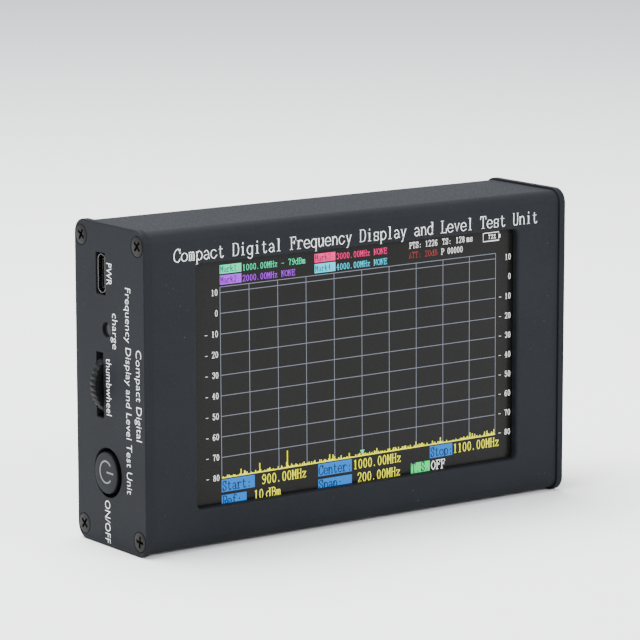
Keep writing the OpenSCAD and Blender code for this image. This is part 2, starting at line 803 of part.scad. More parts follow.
module battery_guard_board() {
    z0 = battery_z + (battery_w - guard_board[2]) / 2;
    color(board_green) block([guard_x, guard_x + guard_board[0]], [guard_y, guard_y + guard_board[1]],
                             [z0, z0 + guard_board[2]]);
}

module battery_tape() {
    color(foam) block([battery_x + 5, battery_x + battery_l - 5], [board_front_y - tape_t, board_front_y],
                      [battery_z + 5, battery_z + battery_w - 5]);
}

module battery_leads() {
    color("firebrick") swept_tube(red_lead, lead_r, 8, [0, 1, 0]);
    color(matte_black) swept_tube(black_lead, lead_r, 8, [0, 1, 0]);
}

module battery_plug() {
    z = [socket_z[0] + 1.2, socket_z[1] - 1.2];
    color(cream) block(plug_x, [lead_y - plug_t / 2, lead_y + plug_t / 2], z);
}

module battery_socket() {
    wall = 0.6;
    z = [socket_z[0] + wall, socket_z[1] - wall];
    color(cream) difference() {
        block(socket_x, [board_front_y - socket_t, board_front_y], socket_z);
        block([plug_x[0] - 0.2, socket_x[1] + 1],
              [lead_y - plug_t / 2 - 0.1, lead_y + plug_t / 2 + 0.1], z);
    }
}

enclosure_shell();
end_plate_left();
end_plate_right();
left_plate_screws();
right_plate_screws();
display_gasket();
lcd_glass();
lcd_backlight();
lcd_frame();
lcd_flex();
flex_connector();
foam_pads();
main_board();
processor_chip();
memory_chip();
charger_chip();
synthesizer_chips();
mixer_chips();
reference_oscillator();
power_inductors();
board_capacitors();
chip_passives();
input_shield_can();
output_shield_can();
usb_shell();
usb_tongue();
usb_contacts();
charge_led();
charge_light_pipe();
power_button_cap();
power_switch_plunger();
power_switch_body();
power_switch_pins();
power_switch_spring();
track_wheel();
encoder_carriage();
wheel_axle();
axle_clip();
encoder_base();
encoder_push_contact();
carriage_springs();
sma_input_body();
sma_output_body();
sma_insulators();
sma_contacts();
sma_washers();
sma_nuts();
battery_cell();
battery_guard_board();
battery_tape();
battery_leads();
battery_plug();
battery_socket();
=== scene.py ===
"""Looks of the handheld spectrum analyzer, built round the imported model.

Shapes are drawn in millimetres in the model's own frame (+X to the coaxial jacks, -Y the screen side,
+Z up) and turned into metres when a piece is made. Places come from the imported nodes' boxes.
"""

import json
import math
import random

import bmesh
import bpy
from mathutils import Matrix, Vector


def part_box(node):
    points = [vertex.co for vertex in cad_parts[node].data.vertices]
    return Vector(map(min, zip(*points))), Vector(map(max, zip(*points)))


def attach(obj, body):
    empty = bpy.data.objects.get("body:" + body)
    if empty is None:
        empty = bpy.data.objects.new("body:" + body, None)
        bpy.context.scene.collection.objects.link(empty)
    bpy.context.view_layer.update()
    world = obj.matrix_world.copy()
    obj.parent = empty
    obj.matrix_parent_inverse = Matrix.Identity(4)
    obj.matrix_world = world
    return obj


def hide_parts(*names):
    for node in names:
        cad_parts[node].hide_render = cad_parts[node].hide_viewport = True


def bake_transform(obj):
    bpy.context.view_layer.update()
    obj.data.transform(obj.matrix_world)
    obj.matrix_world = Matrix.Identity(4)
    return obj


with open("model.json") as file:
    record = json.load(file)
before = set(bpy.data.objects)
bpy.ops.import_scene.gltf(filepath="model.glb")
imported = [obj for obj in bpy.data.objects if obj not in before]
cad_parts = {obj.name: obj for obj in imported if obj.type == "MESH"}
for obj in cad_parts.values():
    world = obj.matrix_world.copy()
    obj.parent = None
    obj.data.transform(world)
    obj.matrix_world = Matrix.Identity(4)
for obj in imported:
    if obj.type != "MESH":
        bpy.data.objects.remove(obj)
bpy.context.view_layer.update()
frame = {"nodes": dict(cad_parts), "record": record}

# ---- Sizes, in millimetres ----

MM = 0.001


def node_box(node):
    lo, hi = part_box(node)
    return lo / MM, hi / MM


def middle(node):
    lo, hi = node_box(node)
    return (lo + hi) / 2


PLATE_LO, PLATE_HI = node_box("end_plate_left")
TUBE_LO, TUBE_HI = node_box("enclosure_shell")
LEFT_X = PLATE_LO.x  # outer face of the left plate
RIGHT_X = node_box("end_plate_right")[1].x
PLATE_T = PLATE_HI.x - PLATE_LO.x
CASE_H = PLATE_HI.z
MID_Z = CASE_H / 2
PLATE_CORNER_R = 3.5
PLATE_EDGE_R, PLATE_BACK_EDGE_R = 0.35, 0.15
TUBE_CORNER_R = 3.0
TUBE_EDGE_R = 0.12
TUBE_WALL = 1.6
FRONT_WALL = 1.8
FRONT_Y = TUBE_LO.y  # front face of the tube
WINDOW_W, WINDOW_H, WINDOW_Z, WINDOW_R = 91.6, 55.8, 37.5, 1.2
LIP_R = 0.7  # rounding of the window's rim
HOLE_LIP = 0.12  # rounding of the plates' holes
PAST = 1.0  # how far a cutter runs past what it cuts

SCREW_HEAD_R, SCREW_SHANK_R, SCREW_HEAD_H = 2.3, 1.25, 1.05
SCREW_L = 6.0
SCREW_LO, SCREW_HI = node_box("left_plate_screws")
SCREW_Y = SCREW_HI.y - SCREW_HEAD_R
SCREW_ZS = (SCREW_LO.z + SCREW_HEAD_R, SCREW_HI.z - SCREW_HEAD_R)
SCREW_PLACES = [(y, z) for y in (-SCREW_Y, SCREW_Y) for z in SCREW_ZS]
SCREW_TURNS = (5, 40, 38, 31)  # where each cross recess came to rest, in degrees
SCREW_SINK = 0.05  # the heads' tops below the plate's face
PLATE_BORE_R = 1.4
CHANNEL_BORE_R, CHANNEL_R = 1.3, 2.2

PORT = middle("usb_shell")
PORT_LO, PORT_HI = node_box("usb_shell")
PORT_CUTOUT = (3.9, 9.5)
PORT_WALL = 0.22
TONGUE_LO, TONGUE_HI = node_box("usb_tongue")
LIGHT = middle("charge_light_pipe")
LIGHT_LO, LIGHT_HI = node_box("charge_light_pipe")
LIGHT_HOLE_R = 1.7
WHEEL = middle("track_wheel")
WHEEL_LO, WHEEL_HI = node_box("track_wheel")
WHEEL_R = (WHEEL_HI.z - WHEEL_LO.z) / 2
WHEEL_SLOT = (2.9, 15.0)
BUTTON = middle("power_button_cap")
BUTTON_LO, BUTTON_HI = node_box("power_button_cap")
BUTTON_R = (BUTTON_HI.z - BUTTON_LO.z) / 2
BUTTON_HOLE_R = 5.7
PLUNGER_LO, PLUNGER_HI = node_box("power_switch_plunger")
JACKS = {node: middle(node) for node in ("sma_input_body", "sma_output_body")}
JACK_HOLE_R = 3.3
GLASS_LO, GLASS_HI = node_box("lcd_glass")
BOARD_LO, BOARD_HI = node_box("main_board")
NUT_LO, NUT_HI = node_box("sma_nuts")

INK_T = 0.02  # thickness of printed ink and of the lit picture
SLOT_OF = {part["node"]: part["material_slot"] for part in frame["record"]["subparts"]}


# ---- Materials ----

def new_material(name):
    made = bpy.data.materials.new(name)
    made.use_nodes = True
    return made, made.node_tree, made.node_tree.nodes["Principled BSDF"]


def feed(tree, node, **values):
    """Fills a node's inputs; a value that is a socket is linked, and any other value is set."""
    for key, value in values.items():
        socket = node.inputs[key.replace("_", " ")]
        if isinstance(value, bpy.types.NodeSocket):
            tree.links.new(value, socket)
        else:
            socket.default_value = value


def add(tree, kind, **values):
    """Adds a shader node; each value sets the property of its name, or fills the input."""
    made = tree.nodes.new(kind)
    for key, value in values.items():
        if hasattr(made, key):
            setattr(made, key, value)
        else:
            feed(tree, made, **{key: value})
    return made


def noise(tree, scale, detail=2.0, roughness=0.5, stretch=None):
    """Noise over the object, scale in features per millimetre."""
    place = add(tree, "ShaderNodeTexCoord").outputs["Object"]
    if stretch:
        place = add(tree, "ShaderNodeMapping", Scale=stretch, Vector=place).outputs["Vector"]
    return add(tree, "ShaderNodeTexNoise", Vector=place, Scale=scale / MM, Detail=detail,
               Roughness=roughness).outputs["Fac"]


def spread(tree, value, low, high, from_low=0.3, from_high=0.7):
    """Maps a pattern's usual range to low..high."""
    made = add(tree, "ShaderNodeMapRange", Value=value, From_Min=from_low, From_Max=from_high,
               To_Min=low, To_Max=high)
    return made.outputs["Result"]


MIX_FACTOR, MIX_FIRST, MIX_SECOND, MIX_RESULT = 0, 6, 7, 2  # sockets of a Mix node set to colours


def blend_colours(tree, factor, first, second):
    made = tree.nodes.new("ShaderNodeMix")
    made.data_type = "RGBA"
    tree.links.new(factor, made.inputs[MIX_FACTOR])
    for index, value in ((MIX_FIRST, first), (MIX_SECOND, second)):
        if isinstance(value, bpy.types.NodeSocket):
            tree.links.new(value, made.inputs[index])
        else:
            made.inputs[index].default_value = (*value, 1.0)
    return made.outputs[MIX_RESULT]


def bump(tree, shader, height, depth, strength=1.0):
    """Relief from a pattern; depth is in millimetres."""
    made = add(tree, "ShaderNodeBump", Height=height, Strength=strength, Distance=depth * MM)
    feed(tree, shader, Normal=made.outputs["Normal"])


def grainy(name, dark, light, rough=(0.4, 0.6), grain=3.0, relief=0.02, metallic=0.0, stretch=None,
           mottle=0.12, specular=0.5):
    """A finish with slow colour drift, fine grain, and relief from the grain."""
    made, tree, shader = new_material(name)
    drift = noise(tree, mottle, 3.0)
    fine = noise(tree, grain, 3.0, 0.6, stretch)
    mixed = add(tree, "ShaderNodeMath", operation="ADD")
    tree.links.new(spread(tree, drift, 0.0, 0.45), mixed.inputs[0])
    tree.links.new(spread(tree, fine, 0.0, 0.55), mixed.inputs[1])
    feed(tree, shader, Base_Color=blend_colours(tree, mixed.outputs["Value"], dark, light),
         Roughness=spread(tree, fine, *rough), Metallic=metallic, Specular_IOR_Level=specular)
    bump(tree, shader, fine, relief)
    return made


DUST_COLOUR = (0.13, 0.134, 0.14)


def powder_coat(name, colour, fleck):
    """Fine-textured powder coat: a pebbled skin, slow drift of tone and rare pale specks."""
    made, tree, shader = new_material(name)
    drift = noise(tree, 0.035, 4.0, 0.6)
    pebble = noise(tree, 2.2, 2.0, 0.55)
    dust = noise(tree, 2.1, 1.0, 0.4)
    darker, paler = [0.86 * c for c in colour], [1.14 * c for c in colour]
    base = blend_colours(tree, spread(tree, drift, 0.0, 1.0), darker, paler)
    toned = blend_colours(tree, spread(tree, pebble, 0.0, 0.5), base, fleck)
    speck = blend_colours(tree, spread(tree, dust, 0.0, 0.6, 0.8, 0.84), toned, DUST_COLOUR)
    feed(tree, shader, Base_Color=speck, Roughness=spread(tree, pebble, 0.42, 0.62),
         Specular_IOR_Level=0.05)
    bump(tree, shader, pebble, 0.05, 0.6)
    return made


def circuit_board():
    """Green solder mask with copper runs showing through it."""
    made, tree, shader = new_material("circuit_board")
    place = add(tree, "ShaderNodeTexCoord").outputs["Object"]
    runs = add(tree, "ShaderNodeTexVoronoi", Vector=place, Scale=0.45 / MM, distance="CHEBYCHEV")
    lines = spread(tree, runs.outputs["Distance"], 0.0, 1.0, 0.42, 0.46)
    colour = blend_colours(tree, lines, (0.008, 0.075, 0.035), (0.02, 0.16, 0.07))
    feed(tree, shader, Base_Color=colour, Roughness=spread(tree, noise(tree, 1.2), 0.25, 0.4))
    bump(tree, shader, lines, 0.03)
    return made


def screen_glass():
    """Dark polarizer on the display's glass, with a faint haze."""
    made, tree, shader = new_material("screen_glass")
    haze = noise(tree, 0.02, 3.0)
    colour = blend_colours(tree, spread(tree, haze, 0.0, 1.0),
                           (0.0065, 0.0063, 0.0055), (0.0088, 0.0088, 0.0082))
    feed(tree, shader, Base_Color=colour, Roughness=spread(tree, noise(tree, 3.0), 0.2, 0.3),
         Specular_IOR_Level=0.09)
    return made


def lit_ink(name, glow):
    """Picture elements of the display: they glow, a little unevenly from dot to dot."""
    made, tree, shader = new_material(name)
    strength = max(glow)
    colour = [c / strength for c in glow]
    dots = spread(tree, noise(tree, 4.0, 1.0), 0.0, 1.0)
    lit = blend_colours(tree, dots, [0.85 * c for c in colour], colour)
    unlit = blend_colours(tree, dots, (0.006, 0.006, 0.006), (0.01, 0.01, 0.01))
    feed(tree, shader, Emission_Color=lit, Base_Color=unlit, Emission_Strength=strength,
         Roughness=0.4, Specular_IOR_Level=0.08)
    return made


def printed_ink(name, colour):
    return grainy(name, [0.8 * c for c in colour], colour, (0.5, 0.65), 6.0, 0.004)


METAL = {"metallic": 1.0}
FINISHES = {  # by slot, what grainy() takes after the name
    "screw_steel": ((0.003, 0.003, 0.003), (0.01, 0.0095, 0.0083), (0.3, 0.5), 2.0, 0.01,
                    {"metallic": 0.35, "mottle": 0.8, "specular": 0.1}),
    "foam": ((0.01, 0.01, 0.01), (0.035, 0.035, 0.035), (0.85, 0.95), 5.0, 0.08, {}),
    "light_guide": ((0.72, 0.74, 0.75), (0.85, 0.86, 0.86), (0.2, 0.35), 1.5, 0.01, {}),
    "pressed_steel": ((0.42, 0.42, 0.41), (0.6, 0.6, 0.58), (0.25, 0.45), 2.0, 0.01,
                      {"metallic": 1.0, "stretch": (0.15, 1, 1)}),
    "flex_film": ((0.45, 0.2, 0.03), (0.6, 0.3, 0.06), (0.2, 0.35), 1.0, 0.01, {"stretch": (3, 0.2, 0.2)}),
    "cream_plastic": ((0.68, 0.63, 0.5), (0.78, 0.74, 0.62), (0.4, 0.55), 4.0, 0.01, {}),
    "chip_package": ((0.015, 0.015, 0.016), (0.04, 0.04, 0.042), (0.45, 0.65), 6.0, 0.02, {}),
    "ferrite": ((0.05, 0.05, 0.052), (0.11, 0.11, 0.115), (0.5, 0.75), 5.0, 0.03, {}),
    "capacitor_can": ((0.55, 0.33, 0.05), (0.7, 0.45, 0.1), (0.35, 0.5), 3.0, 0.01, {}),
    "ceramic_parts": ((0.35, 0.26, 0.17), (0.5, 0.4, 0.28), (0.4, 0.6), 5.0, 0.01, {}),
    "tinned_shield": ((0.5, 0.5, 0.49), (0.72, 0.72, 0.7), (0.22, 0.42), 1.2, 0.012, METAL),
    "port_steel": ((0.11, 0.11, 0.11), (0.17, 0.17, 0.166), (0.2, 0.34), 2.5, 0.006, METAL),
    "black_plastic": ((0.006, 0.006, 0.0065), (0.013, 0.013, 0.014), (0.4, 0.6), 4.0, 0.015,
                      {"specular": 0.2}),
    "gold_plate": ((0.72, 0.48, 0.16), (0.9, 0.66, 0.28), (0.18, 0.34), 2.0, 0.006, METAL),
    "led_package": ((0.75, 0.73, 0.6), (0.88, 0.86, 0.74), (0.3, 0.45), 3.0, 0.01, {}),
    "light_pipe": ((0.006, 0.0066, 0.008), (0.011, 0.012, 0.0135), (0.25, 0.4), 2.0, 0.01,
                   {"specular": 0.15}),
    "spring_wire": ((0.4, 0.4, 0.4), (0.62, 0.62, 0.6), (0.25, 0.4), 4.0, 0.006, METAL),
    "button_plastic": ((0.009, 0.0098, 0.0115), (0.0145, 0.0156, 0.018), (0.45, 0.6), 4.5, 0.02,
                       {"specular": 0.06}),
    "wheel_plastic": ((0.003, 0.003, 0.0035), (0.0085, 0.009, 0.0095), (0.35, 0.55), 3.0, 0.03,
                      {"specular": 0.07}),
    "white_insulator": ((0.78, 0.78, 0.76), (0.88, 0.88, 0.87), (0.3, 0.45), 3.0, 0.01, {}),
    "battery_foil": ((0.38, 0.39, 0.41), (0.52, 0.53, 0.55), (0.3, 0.5), 0.8, 0.04, {"metallic": 0.8}),
    "wire_sleeve": ((0.3, 0.015, 0.012), (0.42, 0.03, 0.02), (0.35, 0.5), 3.0, 0.01, {}),
}
MATERIALS = {slot: grainy(slot, *looks, **others) for slot, (*looks, others) in FINISHES.items()}
MATERIALS["tube_coating"] = powder_coat("tube_coating", (0.0105, 0.0116, 0.0138), (0.0172, 0.0187, 0.0215))
MATERIALS["plate_coating"] = powder_coat("plate_coating", (0.0093, 0.0103, 0.0122), (0.0152, 0.0165, 0.019))
MATERIALS["screen_glass"] = screen_glass()
MATERIALS["circuit_board"] = circuit_board()
LABEL_INK = printed_ink("label_ink", (0.92, 0.93, 0.93))
SYMBOL_INK = printed_ink("symbol_ink", (0.15, 0.157, 0.165))
# Near-black copy of the button plastic: painted shade for the shadow in the gap round the button, worn by
# the button cap's rim and side
SKIRT_PAINTED_SHADE = grainy("skirt_painted_shade", (0.0012, 0.0012, 0.0013), (0.003, 0.003, 0.0032), specular=0.03)
PORT_PLASTIC = grainy("port_plastic", (0.035, 0.036, 0.037), (0.055, 0.056, 0.057), grain=4.0, specular=0.2)


# ---- Shapes ----

ROUND_STEPS = 4


def circle(r, steps=48):
    """Outline maker: takes how far the outline grows and gives its points."""
    turn = [2 * math.pi * k / steps for k in range(steps)]
    return lambda grow: [((r + grow) * math.cos(t), (r + grow) * math.sin(t)) for t in turn]


def rounded_rect(width, height, r, steps=6):
    """Outline maker of a rectangle with round corners."""
    def outline(grow):
        radius = max(r + grow, 0.01)
        dx, dy = width / 2 + grow - radius, height / 2 + grow - radius
        points = []
        for corner, (sx, sy) in enumerate(((1, 1), (-1, 1), (-1, -1), (1, -1))):
            for k in range(steps + 1):
                t = math.radians(90 * (corner + k / steps))
                points.append((sx * dx + radius * math.cos(t), sy * dy + radius * math.sin(t)))
        return points
    return outline


def polygon(points):
    return lambda grow: points


def rounded_ends(start, end, r_start, r_end):
    """Stations (grow, place) of an extrusion whose two ends are rounded over."""
    quarter = [math.radians(90 * k / ROUND_STEPS) for k in range(ROUND_STEPS + 1)]
    first = [(r_start * (math.sin(t) - 1), start + r_start * (1 - math.cos(t))) for t in quarter]
    last = [(r_end * (math.cos(t) - 1), end - r_end * (1 - math.sin(t))) for t in quarter]
    return first + last


def flared_hole(mouth, end, lip):
    """Stations of a cutter that enters at mouth, rounds the hole's rim by lip and stops at end."""
    way = 1 if end > mouth else -1
    quarter = [math.radians(90 * k / ROUND_STEPS) for k in range(ROUND_STEPS + 1)]
    rim = [(lip * (1 - math.sin(t)), mouth + way * lip * (1 - math.cos(t))) for t in quarter]
    return [(lip, mouth - way * PAST)] + rim + [(0, end)]


def along(axis, place, a, b):
    """A point at place on an axis; a and b are (Y, Z) along X, and (X, Z) along Y."""
    return (place, a, b) if axis == "X" else (a, place, b)


def loft(bm, rings, closed=False):
    """Skins rings of points; the ends are capped unless the last ring joins the first."""
    loops = [[bm.verts.new(p) for p in ring] for ring in rings]
    count = len(loops[0])
    pairs = list(zip(loops, loops[1:])) + ([(loops[-1], loops[0])] if closed else [])
    for near, far in pairs:
        for k in range(count):
            bm.faces.new((near[k], near[(k + 1) % count], far[(k + 1) % count], far[k]))
    if not closed:
        bm.faces.new(loops[0][::-1])
        bm.faces.new(loops[-1])


def prism(bm, outline, stations, axis="X", centre=(0, 0)):
    """Extrudes an outline along an axis through its stations."""
    loft(bm, [[along(axis, place, centre[0] + a, centre[1] + b) for a, b in outline(grow)]
              for grow, place in stations])


def box(bm, x, y, z, edge=0.15):
    """A block between two X, two Y and two Z values, with rounded edges."""
    centre = ((y[0] + y[1]) / 2, (z[0] + z[1]) / 2)
    outline = rounded_rect(y[1] - y[0], z[1] - z[0], edge, 3)
    prism(bm, outline, rounded_ends(*x, edge, edge), "X", centre)


AXIS_R = 0.01  # a profile point this near the axis ends a solid there


def lathe(bm, profile, centre, axis="X", steps=64, shape=None):
    """Turns a profile of (place, radius) round an axis; shape(place, radius, angle) gives the radius.
    A profile that starts and ends on the axis makes a solid, and any other is closed into a ring."""
    rings = []
    for place, radius in profile:
        ring = []
        for k in range(steps):
            t = 2 * math.pi * k / steps
            r = shape(place, radius, t) if shape else radius
            ring.append(along(axis, place, centre[0] + r * math.cos(t), centre[1] + r * math.sin(t)))
        rings.append(ring)
    loft(bm, rings, closed=min(profile[0][1], profile[-1][1]) > AXIS_R)


def arc_profile(place, radius, r, start, end, steps=ROUND_STEPS):
    """Profile points on an arc of radius r about (place, radius), from start to end degrees."""
    turns = [math.radians(start + (end - start) * k / steps) for k in range(steps + 1)]
    return [(place + r * math.cos(t), radius + r * math.sin(t)) for t in turns]


WELD = 0.0005  # points this near each other become one
SHARP_ANGLE = math.radians(33)  # edges that turn more than this stay sharp


def tidy(bm):
    bmesh.ops.remove_doubles(bm, verts=bm.verts, dist=WELD)
    bmesh.ops.dissolve_degenerate(bm, edges=bm.edges, dist=WELD)
    bmesh.ops.recalc_face_normals(bm, faces=bm.faces)


def in_scene(name, data):
    made = bpy.data.objects.new(name, data)
    bpy.context.scene.collection.objects.link(made)
    return made


def as_mesh(name, bm):
    """Turns a bmesh into a mesh; the bmesh is used up."""
    mesh = bpy.data.meshes.new(name)
    bm.to_mesh(mesh)
    bm.free()
    return mesh


def carve(solid, tool):
    """Cuts the tool's shape out of the solid; both bmeshes are used up and the result is returned."""
    tidy(solid)
    tidy(tool)
    first, second = in_scene("solid", as_mesh("solid", solid)), in_scene("tool", as_mesh("tool", tool))
    cut = first.modifiers.new("cut", "BOOLEAN")
    cut.operation, cut.solver, cut.object = "DIFFERENCE", "EXACT", second
    result = bmesh.new()
    result.from_object(first, bpy.context.evaluated_depsgraph_get())
    for used in (first, second):
        mesh = used.data
        bpy.data.objects.remove(used)
        bpy.data.meshes.remove(mesh)
    return result


def piece(name, bm, slot, body="case", replaced=(), material=None):
    """Makes a piece of a bmesh drawn in millimetres: shades it by angle and joins it to its body.
    Body is a name; given as (body, other, start, end), its members are not used and the piece joins no
    body."""
    tidy(bm)
    mesh = as_mesh(name, bm)
    mesh.transform(Matrix.Scale(MM, 4))
    mesh.shade_smooth()
    mesh.set_sharp_from_angle(angle=SHARP_ANGLE)
    mesh.materials.append(material or MATERIALS[slot])
    made = in_scene(name, mesh)
    made.modifiers.new("even_shading", "WEIGHTED_NORMAL").keep_sharp = True
    if isinstance(body, str):
        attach(made, body)
    else:
        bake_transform(made)
    if replaced:
        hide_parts(*replaced)


# ---- Lettering ----
# Each letter is a set of strokes on a grid 8 wide, with the baseline at 3, the tops of small letters
# at 9 and of capitals at c (12). A stroke lists its points as pairs of hex digits; ~ marks a curve.

BASELINE, CAP_HEIGHT, GRID_W = 3, 9, 10
LETTERS = {
    "A": "134c73 2666 0323 6383", "B": "0c5c 2c23 0353 2858 ~5c7b7958 ~58878553",
    "C": "8c89 ~8a6c4c1a0714436385", "D": "0c4c 0343 1c13 ~4c7b88877443",
    "E": "0c8c8a 2c23 2868 6967 038385", "F": "0c8c8a 2c23 0343 2868 6967",
    "H": "1c13 7c73 1878 0c2c 6c8c 0323 6383", "L": "0c4c 2c23 038386",
    "M": "0c1c13 1c467c 8c7c73 0323 6383", "N": "0c1c13 1c737c 6c8c 0323", "O": "~4c7a888775431507081a4c",
    "P": "0c5c 2c23 0343 ~5c8b8857 2757", "R": "0c5c 2c23 0343 ~5c8b8857 2757 5783",
    "S": "~7a5c3c1b1938577674533315 7c79 1613", "T": "0a0c8c8a 4c43 2363",
    "U": "0c2c 6c8c 1c15 ~1523436375 757c", "a": "~18395977 777483 ~76361514335375",
    "c": "~785939180614335385", "d": "5c7c7383 ~775939180614335375", "e": "0686 ~86785939180614335384",
    "f": "~8b6c4c3a 3a33 1353 1969", "g": "~775939180614335375 897971 ~71503011", "i": "4b4c 294943 2363",
    "k": "0c1c13 0323 7916 3773 6383 6989", "l": "2c4c43 2363",
    "m": "091913 ~18293948 4843 ~48596978 7873 0323 3353 6383", "n": "091913 0323 ~17395977 7773 6383",
    "o": "~497886744314061849", "p": "091910 0020 ~173959788674533315",
    "q": "897970 6080 ~775939180614335375", "r": "092923 0353 ~27496988",
    "s": "~78592918266674633314 7977 1513", "t": "3b35 ~35436374 1969", "u": "091915 ~15234375 59797383",
    "v": "0929 6989 194379", "y": "0929 6989 1943 7931 ~312010", "z": "181979137374",
    "0": "~4c6b787764432417182b4c", "1": "2b4c43 2363", "2": "~1a2c6c7a6813 137374",
    "3": "~1a3c6c7a58 ~5877644315", "4": "5c1686 5c53 3373", "5": "7c2c28 ~28597775533315",
    "6": "~7b5c3b181533537576583816", "7": "1b1c7c4743", "8": "~4c6b6948292b4c ~48766443241648",
    "9": "~143354777a5c3c1a19375779", ".": "3334", ":": "4344 4748", "-": "1777",
    "%": "7c13 ~1b2c3b2a1b ~5465746354",
}


def smooth_path(points, steps=3):
    """Curve through points (Catmull-Rom)."""
    ends = [points[0]] + points + [points[-1]]
    path = []
    for a, b, c, d in zip(ends, ends[1:], ends[2:], ends[3:]):
        for k in range(steps):
            t = k / steps
            path.append((b * 2 + (c - a) * t + (a * 2 - b * 5 + c * 4 - d) * t * t
                         + (b * 3 - a - c * 3 + d) * t ** 3) / 2)
    return path + [points[-1]]


def strokes(letter):
    for word in LETTERS[letter].split():
        curved = word.startswith("~")
        digits = word.lstrip("~")
        points = [Vector((int(across, 16), int(up, 16) - BASELINE))
                  for across, up in zip(digits[::2], digits[1::2])]
        yield smooth_path(points) if curved else points


class Sheet:
    """A flat face to draw on: origin, two directions and the way out of it, in millimetres."""

    def __init__(self, origin, right, up, turn=0.0):
        self.origin = Vector(origin)
        self.out = Vector(right).cross(Vector(up))
        spin = Matrix.Rotation(turn, 3, self.out)
        self.right, self.up = spin @ Vector(right), spin @ Vector(up)

    def at(self, point, height):
        return self.origin + self.right * point[0] + self.up * point[1] + self.out * height


def ribbon(bm, sheet, path, upright, level, low=0.0, high=INK_T):
    """A thin raised line along a path; upright and level are its widths where it runs up and across."""
    sides = []
    for k, point in enumerate(path):
        way = (path[min(k + 1, len(path) - 1)] - path[max(k - 1, 0)]).normalized()
        before = (point - path[k - 1]).normalized() if k else way
        width = level + (upright - level) * abs(way.y) ** 0.7
        across = Vector((-way.y, way.x)) * width / 2 / max(way.dot(before), 0.6)
        sides.append((point + across, point - across))
    rings = [[sheet.at(left, high), sheet.at(right, high), sheet.at(right, low), sheet.at(left, low)]
             for left, right in sides]
    loft(bm, rings)


def flat_box(bm, sheet, x, z, high):
    """A thin raised rectangle between two values across and two values up."""
    corners = [(x[0], z[0]), (x[1], z[0]), (x[1], z[1]), (x[0], z[1])]
    loft(bm, [[sheet.at(c, height) for c in corners] for height in (0.0, high)])


def write(bm, sheet, text, start, pitch, cap, upright, level):
    """Draws evenly spaced serif letters from start; pitch is the advance and cap the capitals' height."""
    scale = (pitch / GRID_W, cap / CAP_HEIGHT)
    for index, letter in enumerate(text):
        if letter == " ":
            continue
        for path in strokes(letter):
            placed = [Vector((start[0] + index * pitch + (p.x + 1) * scale[0], start[1] + p.y * scale[1]))
                      for p in path]
            first = placed[0] + (placed[0] - placed[1]).normalized() * level / 2
            last = placed[-1] + (placed[-1] - placed[-2]).normalized() * level / 2
            ribbon(bm, sheet, [first] + placed[1:-1] + [last], upright, level)


# ---- Case ----

def tube_inside():
    """The tube's inner outline: screw channels in the corners and the rails that hold the board."""
    front, back = FRONT_Y + FRONT_WALL, TUBE_HI.y - TUBE_WALL
    half = MID_Z - (TUBE_LO.z + TUBE_WALL)
    dz = SCREW_ZS[1] - MID_Z
    rail, depth, play = 1.0, 1.5, 0.1
    rails = [(BOARD_HI.y + play, BOARD_HI.y + play + rail), (BOARD_LO.y - play - rail, BOARD_LO.y - play)]

    def corner(sy, sz):
        """Points round one screw channel, from the side wall to the top or bottom wall."""
        wall = back if sy > 0 else front
        turns = [math.radians(90 * k / 6) for k in range(7)]
        bend = [(sy * (SCREW_Y - CHANNEL_R * math.sin(t)), sz * (dz - CHANNEL_R * math.cos(t)))
                for t in turns]
        return [(wall, bend[0][1])] + bend + [(bend[-1][0], sz * half)]

    def wall_rails(sz):
        points = []
        for near, far in rails:
            root, crest = sz * half, sz * (half - depth)
            points += [(far, root), (far, crest), (near, crest), (near, root)]
        return points

    upper = corner(1, 1) + wall_rails(1) + corner(-1, 1)[::-1]
    lower = corner(-1, -1) + wall_rails(-1)[::-1] + corner(1, -1)[::-1]
    return upper + lower


def make_shell():
    shell, inside, window, bores = bmesh.new(), bmesh.new(), bmesh.new(), bmesh.new()
    width, height = TUBE_HI.y - TUBE_LO.y, TUBE_HI.z - TUBE_LO.z
    through = [(0, TUBE_LO.x - PAST), (0, TUBE_HI.x + PAST)]
    prism(shell, rounded_rect(width, height, TUBE_CORNER_R, 12),
          rounded_ends(TUBE_LO.x, TUBE_HI.x, TUBE_EDGE_R, TUBE_EDGE_R), "X", (0, MID_Z))
    prism(inside, polygon(tube_inside()), through, "X", (0, MID_Z))
    prism(window, rounded_rect(WINDOW_W, WINDOW_H, WINDOW_R),
          flared_hole(FRONT_Y, FRONT_Y + FRONT_WALL + PAST, LIP_R), "Y", (0, WINDOW_Z))
    for place in SCREW_PLACES:
        prism(bores, circle(CHANNEL_BORE_R, 24), through, "X", place)
    shell = carve(carve(carve(shell, inside), window), bores)
    piece("case_tube", shell, "tube_coating", replaced=["enclosure_shell"])


def make_plate(name, node, face_x, inner_x, holes):
    """An end plate: face_x is its outer face; holes are (outline, centre) pairs."""
    plate, cuts = bmesh.new(), bmesh.new()
    low, high = min(face_x, inner_x), max(face_x, inner_x)
    way = 1 if inner_x > face_x else -1
    edges = (PLATE_EDGE_R, PLATE_BACK_EDGE_R)[::way]
    prism(plate, rounded_rect(PLATE_HI.y - PLATE_LO.y, CASE_H, PLATE_CORNER_R, 12),
          rounded_ends(low, high, *edges), "X", (0, MID_Z))
    beyond = inner_x + way * PAST
    for outline, centre in holes:
        prism(cuts, outline, flared_hole(face_x, beyond, HOLE_LIP), "X", centre)
    mouth, throat, lip = SCREW_HEAD_R + 0.3 - PLATE_BORE_R, SCREW_HEAD_R + 0.17 - PLATE_BORE_R, 0.08
    cone_end = SCREW_HEAD_H + 0.1
    stations = [(mouth, face_x - way * PAST), (mouth, face_x), (throat, face_x + way * lip),
                (0, face_x + way * cone_end), (0, beyond)]
    for place in SCREW_PLACES:
        prism(cuts, circle(PLATE_BORE_R), stations, "X", place)
    piece(name, carve(plate, cuts), "plate_coating", replaced=[node])


